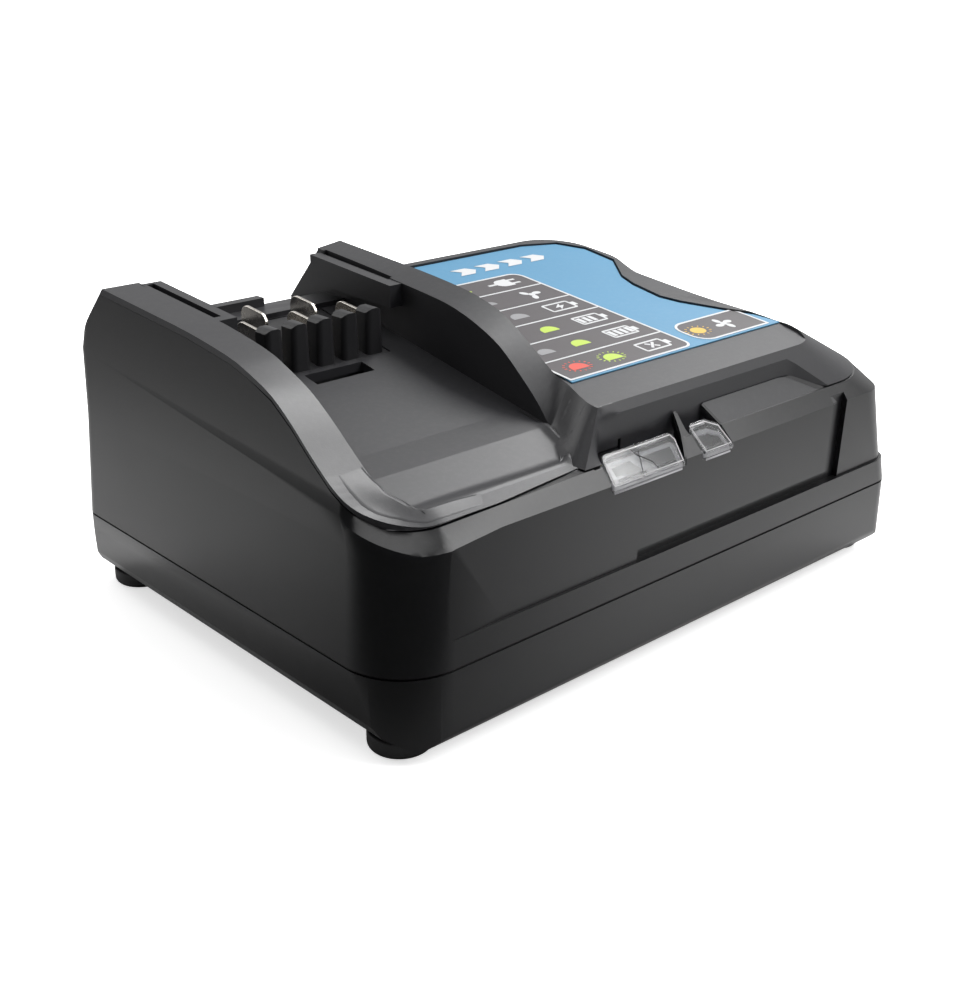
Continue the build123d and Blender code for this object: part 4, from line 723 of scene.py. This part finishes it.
def build_corner_band(material, cover):
    """Raises the inner edge of the band a little over the bay's mouth, and runs out flush to all sides."""
    depsgraph = bpy.context.evaluated_depsgraph_get()
    shape = BVHTree.FromObject(cover, depsgraph)

    def surface(x, y):
        hit = shape.ray_cast(at(x, y, 80), Vector((0, 0, -1)))[0]
        return in_mm(hit).z if hit else None

    steps = []
    for (x0, y0), (x1, y1) in zip(BAND_INNER, BAND_INNER[1:]):
        steps += [(x0 + (x1 - x0) * n / BAND_SPLITS, y0 + (y1 - y0) * n / BAND_SPLITS)
                  for n in range(BAND_SPLITS)]
    steps.append(BAND_INNER[-1])
    outs, reaches = [], []
    for n, (x, y) in enumerate(steps):
        run = Vector(steps[min(n + 6, len(steps) - 1)]) - Vector(steps[max(n - 6, 0)])
        out = Vector((run.y, -run.x)).normalized()
        if out.x + out.y >= 0:
            out = -out
        reach, level = 0.0, surface(x, y)
        while reach < BAND_REACH:
            beyond = surface(x + out.x * (reach + DROP_AHEAD), y + out.y * (reach + DROP_AHEAD))
            if beyond is None or level - beyond > DROP:
                break
            reach += STRIDE
            level = surface(x + out.x * reach, y + out.y * reach)
        outs.append(out)
        reaches.append(reach)
    rows = []
    for n, ((x, y), out) in enumerate(zip(steps, outs)):
        near = [min(reaches[max(m - 2, 0):m + 3]) for m in range(max(n - 3, 0), min(n + 4, len(steps)))]
        reach = sum(near) / len(near)
        share = eased(min(n, len(steps) - 1 - n) / 9)
        row = [at(x, y, surface(x, y) - BAND_HEM)]
        for c in range(BAND_COLUMNS + 1):
            t = c / BAND_COLUMNS
            px, py = x + out.x * reach * t, y + out.y * reach * t
            lift = (BAND_STEP * (1 - t) ** 1.5 + BAND_PROUD) * share - BAND_SUNK * (1 - share)
            if c == BAND_COLUMNS:
                lift -= BAND_TUCK
            row.append(at(px, py, surface(px, py) + lift))
        rows.append(row)
    return finish_piece(sheet("corner_band", rows), "cover_grey", material)


# ---- pieces ----
def build_case(looks):
    black = plastic("case_black_plastic", looks.body_colour, looks.body_gloss, spread=0.1, bump=0.12,
                    dust=0.015)
    base = softened("bottom_housing", "base_moulding", looks.body_round)
    finish_piece(base, "case_black", black, "bottom_housing")
    walls = softened("upper_housing", "wall_moulding", looks.body_round, reshape=reshape_wall)
    finish_piece(walls, "case_black", black, "upper_housing")


def build_cover(looks):
    grey = plastic("cover_grey_plastic", looks.cover_colour, looks.cover_gloss, bump=0.14, dust=0.02)
    cover = softened("top_cover", "cover_moulding", looks.cover_round, reshape=reshape_cover)
    finish_piece(cover, "cover_grey", grey, "top_cover")
    build_mouth(grey)
    build_tongue(grey)
    build_corner_band(grey, cover)


# The print on the label, in plan: the status table with its columns, the box of the fan sign, and the
# row of chevrons. Each box has the radii of its corners.
TABLE_LEFT, TABLE_RIGHT = 77.6, 124.9
TABLE_FRONT, TABLE_BACK = 25.3, 95.2
LAMP_COLUMNS = (86.0, 98.6)
ICON_COLUMN = 115.0
PRINT_BOXES = (((TABLE_LEFT, TABLE_RIGHT, TABLE_FRONT, TABLE_BACK), (4.0, 0.3, 0.3, 3.4)),
               ((129.0, 157.6, 25.4, 38.9), (0.4, 5.2, 5.2, 0.4)))
FAN_LAMP_X, FAN_SIGN_X, FAN_ROW_Y = 134.4, 145.5, 32.2
CHEVRONS, CHEVRON_LEFT, CHEVRON_PITCH = 4, 108.0, 9.5
CHEVRON = [(0, 100.6), (5.6, 100.6), (8.0, 103.2), (5.6, 105.8), (0, 105.8), (2.4, 103.2)]


def build_label(label):
    ink, line, pitch = label.ink_height / MM, label.line_width / MM, label.row_pitch / MM
    film = plastic("label_blue_film", label.film_colour, 0.48, spread=0.05, grain=1500.0, bump=0.02,
                   tint=0.05)
    dress("label_panel", "label_film_sheet", "label_film", film, 0.12)

    def ink_of(name, colour):
        return plastic(name, colour, 0.42, spread=0.05, grain=3200.0, bump=0.05, dust=0.01, tint=0.07)

    def first(x, y, height):
        return on_deck(x, y, height + 0.01)

    def second(x, y, height):
        return on_deck(x, y, height + ink)

    grounds = [[rounded_rect(*box, radii)] for box, radii in PRINT_BOXES]
    panel = filled("table_ground", grounds, ink, first)
    finish_piece(panel, "label_film", ink_of("ink_dark_grey", label.panel_colour))

    white = [frame_line(*box, radii, line) for box, radii in PRINT_BOXES]
    centres = [TABLE_FRONT + pitch * (n + 0.5) + 0.2 for n in range(label.rows)]
    for y in centres[1:]:
        white.append(bar(TABLE_LEFT + line, y - pitch / 2, TABLE_RIGHT - line, y - pitch / 2, line * 0.8))
    icons = [battery_icon(extra=cross()), battery_icon(bars=4), battery_icon(bars=3),
             battery_icon(extra=[bolt()]), fan_icon(), plug_icon()]
    for y, icon in zip(centres, icons):
        white += at_each(icon, ICON_COLUMN, y, 1.15)
    white += at_each(fan_icon(4, 1.15), FAN_SIGN_X, FAN_ROW_Y)
    white += [[[(CHEVRON_LEFT + n * CHEVRON_PITCH + x, y) for x, y in CHEVRON]] for n in range(CHEVRONS)]
    prints = filled("white_print", white, ink, second)
    finish_piece(prints, "label_film", ink_of("ink_white", (0.60, 0.61, 0.62)))

    first_lamp, second_lamp = LAMP_COLUMNS
    lamps = {
        "red": ((0.62, 0.06, 0.035), at_each([lamp()] + halo(), first_lamp, centres[0])),
        "grey": ((0.26, 0.26, 0.27), at_each([lamp()], first_lamp, centres[1], 0.9)
                 + at_each([lamp()], second_lamp, centres[3])
                 + at_each([lamp()], second_lamp, centres[4], 0.7)),
        "green": ((0.44, 0.60, 0.06), at_each([lamp()] + halo(), second_lamp, centres[0])
                  + at_each([lamp()], second_lamp, centres[1]) + at_each([lamp()], second_lamp, centres[2])
                  + at_each([bar(-2.6, 1.2, 2.6, -1.2, 0.7)], second_lamp, centres[5])),
        "yellow": ((0.66, 0.42, 0.04), at_each([[disc(0, 0, 2.5, 0.85)]] + halo(14), FAN_LAMP_X, FAN_ROW_Y)),
    }
    for name, (colour, shapes) in lamps.items():
        piece = filled("lamp_print_" + name, shapes, ink, second)
        finish_piece(piece, "label_film", ink_of("ink_" + name, colour))


# The lamp windows in plan: outlines of their clear tops, the bent joint of the large one, the dark wells.
CHARGE_EDGE = [(67.9, 0.7), (92.3, 0.7), (93.2, 4.6), (92.4, 5.6), (69.4, 5.6), (68.5, 5.0)]
CHARGE_JOINT = [(78.2, 5.5), (78.6, 4.6), (80.6, 3.4), (82.8, 2.2), (83.4, 0.8)]
FAN_EDGE = [(101.4, 0.7), (111.0, 0.7), (109.9, 4.4), (106.2, 5.8), (100.4, 5.8)]
CHARGE_WELLS = [[(70.2, 4.9), (76.9, 4.9), (77.4, 4.2), (79.6, 2.9), (80.9, 1.7), (70.2, 1.7)],
                [(79.8, 4.9), (91.4, 4.9), (91.2, 1.7), (84.6, 1.7), (84.0, 2.6), (81.8, 3.7)]]
FAN_WELLS = [[(101.4, 5.0), (105.8, 5.0), (109.1, 3.9), (109.8, 1.7), (102.2, 1.7)]]
BEAD_PROUD, BEAD_WIDTH, REFLECTOR_MM = 0.35, 0.22, 0.4


def bead(name, outline, height, radius, material, closed=True):
    """A thin rounded line lying on the shelf, as a painted highlight along a window's edge or as the dark
    joint.
    """
    curve = bpy.data.curves.new(name, "CURVE")
    curve.dimensions = "3D"
    curve.bevel_depth = radius * MM
    curve.bevel_resolution = 2
    spline = curve.splines.new("POLY")
    spline.points.add(len(outline) - 1)
    for point, (x, y) in zip(spline.points, outline):
        point.co = (*on_shelf(x, y, height), 1)
    spline.use_cyclic_u = closed
    return finish_piece(object_from(name, curve), "lens_clear", material)


def build_windows(lamps):
    lens = clear_plastic("lens_clear_plastic", lamps.lens_colour, lamps.lens_haze, 0.93)
    dress("charge_lamp_lens", "charge_window", "lens_clear", lens, 0.3, segments=3)
    dress("fan_lamp_lens", "fan_window", "lens_clear", lens, 0.3, segments=3)
    pale = plastic("reflector_pale", lamps.reflector_colour, 0.3, bump=0.03)
    # Painted highlight: a pale, glossy bead along each window's outline stands in for the bright lines that
    # the clear edges catch.
    highlight_bead = plastic("window_rim_pale", lamps.window_highlight_colour, 0.15, bump=0.02)
    dark = plastic("window_joint_dark", (0.03, 0.028, 0.03), 0.3, bump=0.02)
    depth = lamps.reflector_depth / MM

    def under(x, y, height):
        return on_shelf(x, y, height - depth)

    for name, outline, wells in (("charge", CHARGE_EDGE, CHARGE_WELLS), ("fan", FAN_EDGE, FAN_WELLS)):
        reflector = filled(name + "_reflector", [[outline, *wells]], REFLECTOR_MM, under)
        finish_piece(reflector, "lens_clear", pale)
        # Painted highlight along the window's outline.
        bead(name + "_window_rim", outline, BEAD_PROUD, BEAD_WIDTH, highlight_bead)
    bead("charge_window_joint", CHARGE_JOINT, BEAD_PROUD, BEAD_WIDTH * 0.8, dark, closed=False)


def build_terminals():
    black = plastic("terminal_black_plastic", (0.016, 0.016, 0.018), 0.45, bump=0.1)
    dress("terminal_block", "terminal_ribs", "terminal_black", black, 0.9, segments=4)
    contact = metal("contact_plating", (0.80, 0.76, 0.70), 0.12)
    for letter in "abcde":
        dress("blade_" + letter, "contact_" + letter, "contact_metal", contact, 0.2)


def build_fan():
    black = plastic("fan_black_plastic", (0.020, 0.020, 0.022), 0.4)
    dress("fan_frame", "fan_housing", "fan_black", black, 0.3)
    dress("fan_rotor", "fan_wheel", "fan_black", black, 0.2, ROTOR)
    duct = plastic("duct_grey_plastic", (0.30, 0.30, 0.31), 0.45)
    dress("air_duct", "air_funnel", "duct_grey", duct, 0.25)


def build_electronics():
    green = board("solder_mask_green", (0.01, 0.10, 0.035), (0.03, 0.20, 0.07))
    ferrite = plastic("ferrite_grey", (0.055, 0.055, 0.058), 0.55, grain=5000.0, bump=0.2)
    tape = wound("yellow_tape", (0.55, 0.40, 0.05), (0.80, 0.62, 0.12), 260.0, 0.35)
    wire = wound("copper_wire", (0.30, 0.12, 0.05), (0.75, 0.36, 0.18), 1300.0, 0.28, 0.9)
    sink = metal("sink_aluminium", (0.78, 0.79, 0.80), 0.3)
    package = plastic("package_black", (0.02, 0.02, 0.021), 0.5, bump=0.1)
    sleeve = plastic("capacitor_sleeve", (0.02, 0.035, 0.12), 0.25, tint=0.3)
    glass = clear_plastic("fuse_glass", (0.85, 0.90, 0.90), 0.05)
    clear = clear_plastic("guide_clear", (0.92, 0.93, 0.94))
    milky = clear_plastic("led_milky", (0.9, 0.9, 0.85), 0.3, 0.4)
    for node, name, slot, material, round_mm in (
            ("circuit_board", "main_board", "board_green", green, 0.1),
            ("terminal_board", "contact_board", "board_green", green, 0.1),
            ("transformer_core", "ferrite_frame", "ferrite", ferrite, 0.5),
            ("transformer_winding", "taped_winding", "winding_tape", tape, 0.4),
            ("choke_coil", "line_choke", "copper_coil", wire, 0.4),
            ("heat_sinks", "finned_sinks", "sink_aluminium", sink, 0.2),
            ("power_transistors", "power_packages", "package_black", package, 0.3),
            ("bridge_rectifier", "bridge_package", "package_black", package, 0.4),
            ("bulk_capacitor", "mains_capacitor", "capacitor_sleeve", sleeve, 0.3),
            ("output_capacitors", "small_capacitors", "capacitor_sleeve", sleeve, 0.2),
            ("fuse", "fuse_in_clips", "fuse_glass", glass, 0.2),
            ("light_guides", "clear_guides", "guide_clear", clear, 0.2),
            ("indicator_leds", "led_bodies", "led_body", milky, 0.2)):
        dress(node, name, slot, material, round_mm)


def build_fastenings():
    steel = metal("screw_steel", (0.60, 0.60, 0.62), 0.3)
    for node in ("housing_screws", "board_screws", "fan_screws", "terminal_screws"):
        dress(node, "zinc_" + node, "screw_steel", steel, 0.15)


def build_feet():
    rubber = plastic("foot_rubber_black", (0.022, 0.022, 0.023), 0.62, bump=0.3, grain=3500.0)
    dress("rubber_feet", "soft_feet", "foot_rubber", rubber, 0.4)
    gland = plastic("gland_rubber_black", (0.02, 0.02, 0.021), 0.55, bump=0.2)
    dress("cord_gland", "cord_sleeve", "gland_rubber", gland, 0.5, segments=3)


# ---- stage ----
def look_at(camera, a, e):
    back = Vector((math.sin(a) * math.cos(e), -math.cos(a) * math.cos(e), math.sin(e)))
    right = Vector((0, 0, 1)).cross(back).normalized()
    up = back.cross(right)
    camera.matrix_world = Matrix((
        (right.x, up.x, back.x, camera.location.x), (right.y, up.y, back.y, camera.location.y),
        (right.z, up.z, back.z, camera.location.z), (0, 0, 0, 1)))


def add_area(name, place, target, size, power):
    light = bpy.data.lights.new(name, "AREA")
    light.shape = "RECTANGLE"
    light.size, light.size_y = size
    light.energy = power
    holder = object_from(name, light)
    holder.location = place
    holder.rotation_mode = "QUATERNION"
    holder.rotation_quaternion = (Vector(target) - Vector(place)).to_track_quat("-Z", "Y")


def facing(tree, direction, towards, low, high):
    """A mask that grows from 0 to 1 as a direction or place turns towards a given way."""
    turned = make(tree, "ShaderNodeVectorMath", {0: direction, 1: towards}, operation="DOT_PRODUCT")["Value"]
    return make(tree, "ShaderNodeMapRange", {"Value": turned, "From Min": low, "From Max": high},
                interpolation_type="SMOOTHSTEP")["Result"]


FLOOR_RADIUS, FLOOR_SIDES = 6, 48
FLOOR_WHITE, FLOOR_DIM = (0.93, 0.93, 0.93), (0.03, 0.03, 0.03)


@painted
def floor_paint(tree, shader, towards_camera):
    """White to the eye, and dim in reflections on the side where the camera stands."""
    place = make(tree, "ShaderNodeTexCoord")["Object"]
    front = facing(tree, place, towards_camera, 0.05, 0.15)
    away = make(tree, "ShaderNodeVectorMath", {0: place}, operation="LENGTH")["Value"]
    far = make(tree, "ShaderNodeMapRange",
               {"Value": away, "From Min": 0.14, "From Max": 0.36, "To Max": 0.7})["Result"]
    dim = make(tree, "ShaderNodeMath", {0: front, 1: far}, operation="MAXIMUM")["Value"]
    path = make(tree, "ShaderNodeLightPath")
    mirrored = make(tree, "ShaderNodeMath", {0: dim, 1: path["Is Glossy Ray"]}, operation="MULTIPLY")["Value"]
    fade = make(tree, "ShaderNodeMapRange",
                {"Value": away, "From Min": 0.08, "From Max": 0.26, "To Min": 0.62, "To Max": 1.2},
                interpolation_type="SMOOTHSTEP")["Result"]
    seen = make(tree, "ShaderNodeMath", {0: fade, 1: path["Is Camera Ray"]}, operation="MULTIPLY")["Value"]
    feed(tree, shader, {"Base Color": mixed_colour(tree, FLOOR_WHITE, FLOOR_DIM, mirrored),
                        "Roughness": 0.9, "Specular IOR Level": 0.1,
                        "Emission Color": (1, 1, 1, 1), "Emission Strength": seen})


def build_floor(towards_camera):
    """A pale round floor at the height of the feet."""
    mesh = bpy.data.meshes.new("studio_floor")
    angles = [2 * math.pi * n / FLOOR_SIDES for n in range(FLOOR_SIDES)]
    mesh.from_pydata([(math.cos(a) * FLOOR_RADIUS, math.sin(a) * FLOOR_RADIUS, 0) for a in angles], [],
                     [tuple(range(FLOOR_SIDES))])
    floor = object_from("studio_floor", mesh)
    floor.location.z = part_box("rubber_feet")[0].z
    floor.data.materials.append(floor_paint("floor_paint", towards_camera))


WORLD_SEEN = 1.5


def build_surround(studio, towards_camera):
    """Even white to the eye; its light comes from behind and the sides, and little from the camera's side."""
    world = bpy.data.worlds.new("studio")
    bpy.context.scene.world = world
    world.use_nodes = True
    tree = world.node_tree
    front = facing(tree, make(tree, "ShaderNodeTexCoord")["Generated"], towards_camera, -0.5, 0.35)
    level = make(tree, "ShaderNodeMapRange",
                 {"Value": front, "To Min": studio.surround, "To Max": studio.camera_side})["Result"]
    eye = make(tree, "ShaderNodeLightPath")["Is Camera Ray"]
    seen = make(tree, "ShaderNodeMix", {"Factor": eye, "A": level, "B": WORLD_SEEN},
                data_type="FLOAT")["Result"]
    feed(tree, tree.nodes["Background"], {"Color": (1, 1, 1, 1), "Strength": seen})


def build_stage(studio):
    camera = bpy.data.cameras.new("photo_camera")
    camera.lens = studio.focal_share * camera.sensor_width
    camera.clip_start, camera.clip_end = 0.01, 20
    holder = object_from("photo_camera", camera)
    holder.location = at(*CAMERA_AT_MM)
    look_at(holder, studio.azimuth, studio.elevation)
    bpy.context.scene.camera = holder
    bpy.context.scene.view_settings.view_transform = "Standard"
    a = studio.azimuth
    towards_camera = Vector((math.sin(a), -math.cos(a), 0))
    build_floor(towards_camera)
    build_surround(studio, towards_camera)
    centre = Vector((0, 0, 0.04))
    for name, direction, distance, size, power in (
            ("top_softbox", (-0.10, -0.15, 1.0), 1.0, (0.8, 0.7), studio.key_power),
            ("right_softbox", (0.62, 0.14, 0.75), 1.0, (0.5, 0.5), studio.side_power),
            ("front_softbox", (0.50, -0.62, 0.65), 1.0, (0.5, 0.5), studio.front_power),
            ("back_strip", (-0.35, 0.8, 0.45), 1.2, (0.9, 0.3), studio.back_power)):
        place = centre + Vector(direction).normalized() * distance
        add_area(name, place, centre, size, power)


# ---- add-on ----
class CHARGER_OT_case(bpy.types.Operator):
    """Builds the base and the side walls of the case"""
    bl_idname = "charger.case"
    bl_label = "Case"

    def execute(self, context):
        build_case(context.scene.charger_case)
        return {"FINISHED"}


class CHARGER_OT_cover(bpy.types.Operator):
    """Builds the top cover with the battery bay"""
    bl_idname = "charger.cover"
    bl_label = "Top cover"

    def execute(self, context):
        build_cover(context.scene.charger_case)
        return {"FINISHED"}


class CHARGER_OT_label(bpy.types.Operator):
    """Builds the printed label on the deck"""
    bl_idname = "charger.label"
    bl_label = "Label"

    def execute(self, context):
        build_label(context.scene.charger_label)
        return {"FINISHED"}


class CHARGER_OT_windows(bpy.types.Operator):
    """Builds the two lamp windows and the pale reflectors behind them"""
    bl_idname = "charger.windows"
    bl_label = "Lamp windows"

    def execute(self, context):
        build_windows(context.scene.charger_lamps)
        return {"FINISHED"}


class CHARGER_OT_terminals(bpy.types.Operator):
    """Builds the ribbed terminal block and its contact blades"""
    bl_idname = "charger.terminals"
    bl_label = "Terminals"

    def execute(self, context):
        build_terminals()
        return {"FINISHED"}


class CHARGER_OT_fan(bpy.types.Operator):
    """Builds the cooling fan and its duct"""
    bl_idname = "charger.fan"
    bl_label = "Fan"

    def execute(self, context):
        build_fan()
        return {"FINISHED"}


class CHARGER_OT_electronics(bpy.types.Operator):
    """Builds the boards and the parts that stand on them"""
    bl_idname = "charger.electronics"
    bl_label = "Electronics"

    def execute(self, context):
        build_electronics()
        return {"FINISHED"}


class CHARGER_OT_fastenings(bpy.types.Operator):
    """Builds the screws"""
    bl_idname = "charger.fastenings"
    bl_label = "Screws"

    def execute(self, context):
        build_fastenings()
        return {"FINISHED"}


class CHARGER_OT_feet(bpy.types.Operator):
    """Builds the rubber feet and the gland of the cord entry"""
    bl_idname = "charger.feet"
    bl_label = "Feet and gland"

    def execute(self, context):
        build_feet()
        return {"FINISHED"}


class CHARGER_OT_stage(bpy.types.Operator):
    """Builds the floor, the lights and the camera"""
    bl_idname = "charger.stage"
    bl_label = "Stage"

    def execute(self, context):
        build_stage(context.scene.charger_studio)
        return {"FINISHED"}


PIECES = (CHARGER_OT_case, CHARGER_OT_cover, CHARGER_OT_label, CHARGER_OT_windows, CHARGER_OT_terminals,
          CHARGER_OT_fan, CHARGER_OT_electronics, CHARGER_OT_fastenings, CHARGER_OT_feet, CHARGER_OT_stage)
SETTINGS = {"charger_case": ChargerCase, "charger_label": ChargerLabel, "charger_lamps": ChargerLamps,
            "charger_studio": ChargerStudio}


class CHARGER_PT_pieces(bpy.types.Panel):
    """Lists the pieces of the charger and their settings"""
    bl_idname = "CHARGER_PT_pieces"
    bl_label = "Charger"
    bl_space_type = "VIEW_3D"
    bl_region_type = "UI"
    bl_category = "Charger"

    def draw(self, context):
        for name in SETTINGS:
            group = getattr(context.scene, name)
            box = self.layout.box()
            for setting in group.__annotations__:
                box.prop(group, setting)
        for piece in PIECES:
            self.layout.operator(piece.bl_idname)


def register():
    for cls in (*SETTINGS.values(), *PIECES, CHARGER_PT_pieces):
        bpy.utils.register_class(cls)
    for name, group in SETTINGS.items():
        setattr(bpy.types.Scene, name, PointerProperty(type=group))


def unregister():
    for name in SETTINGS:
        delattr(bpy.types.Scene, name)
    for cls in (CHARGER_PT_pieces, *reversed(PIECES), *reversed(SETTINGS.values())):
        bpy.utils.unregister_class(cls)


def main():
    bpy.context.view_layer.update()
    register()
    for piece in PIECES:
        group, name = piece.bl_idname.split(".")
        getattr(getattr(bpy.ops, group), name)()


if __name__ == "__main__":
    main()
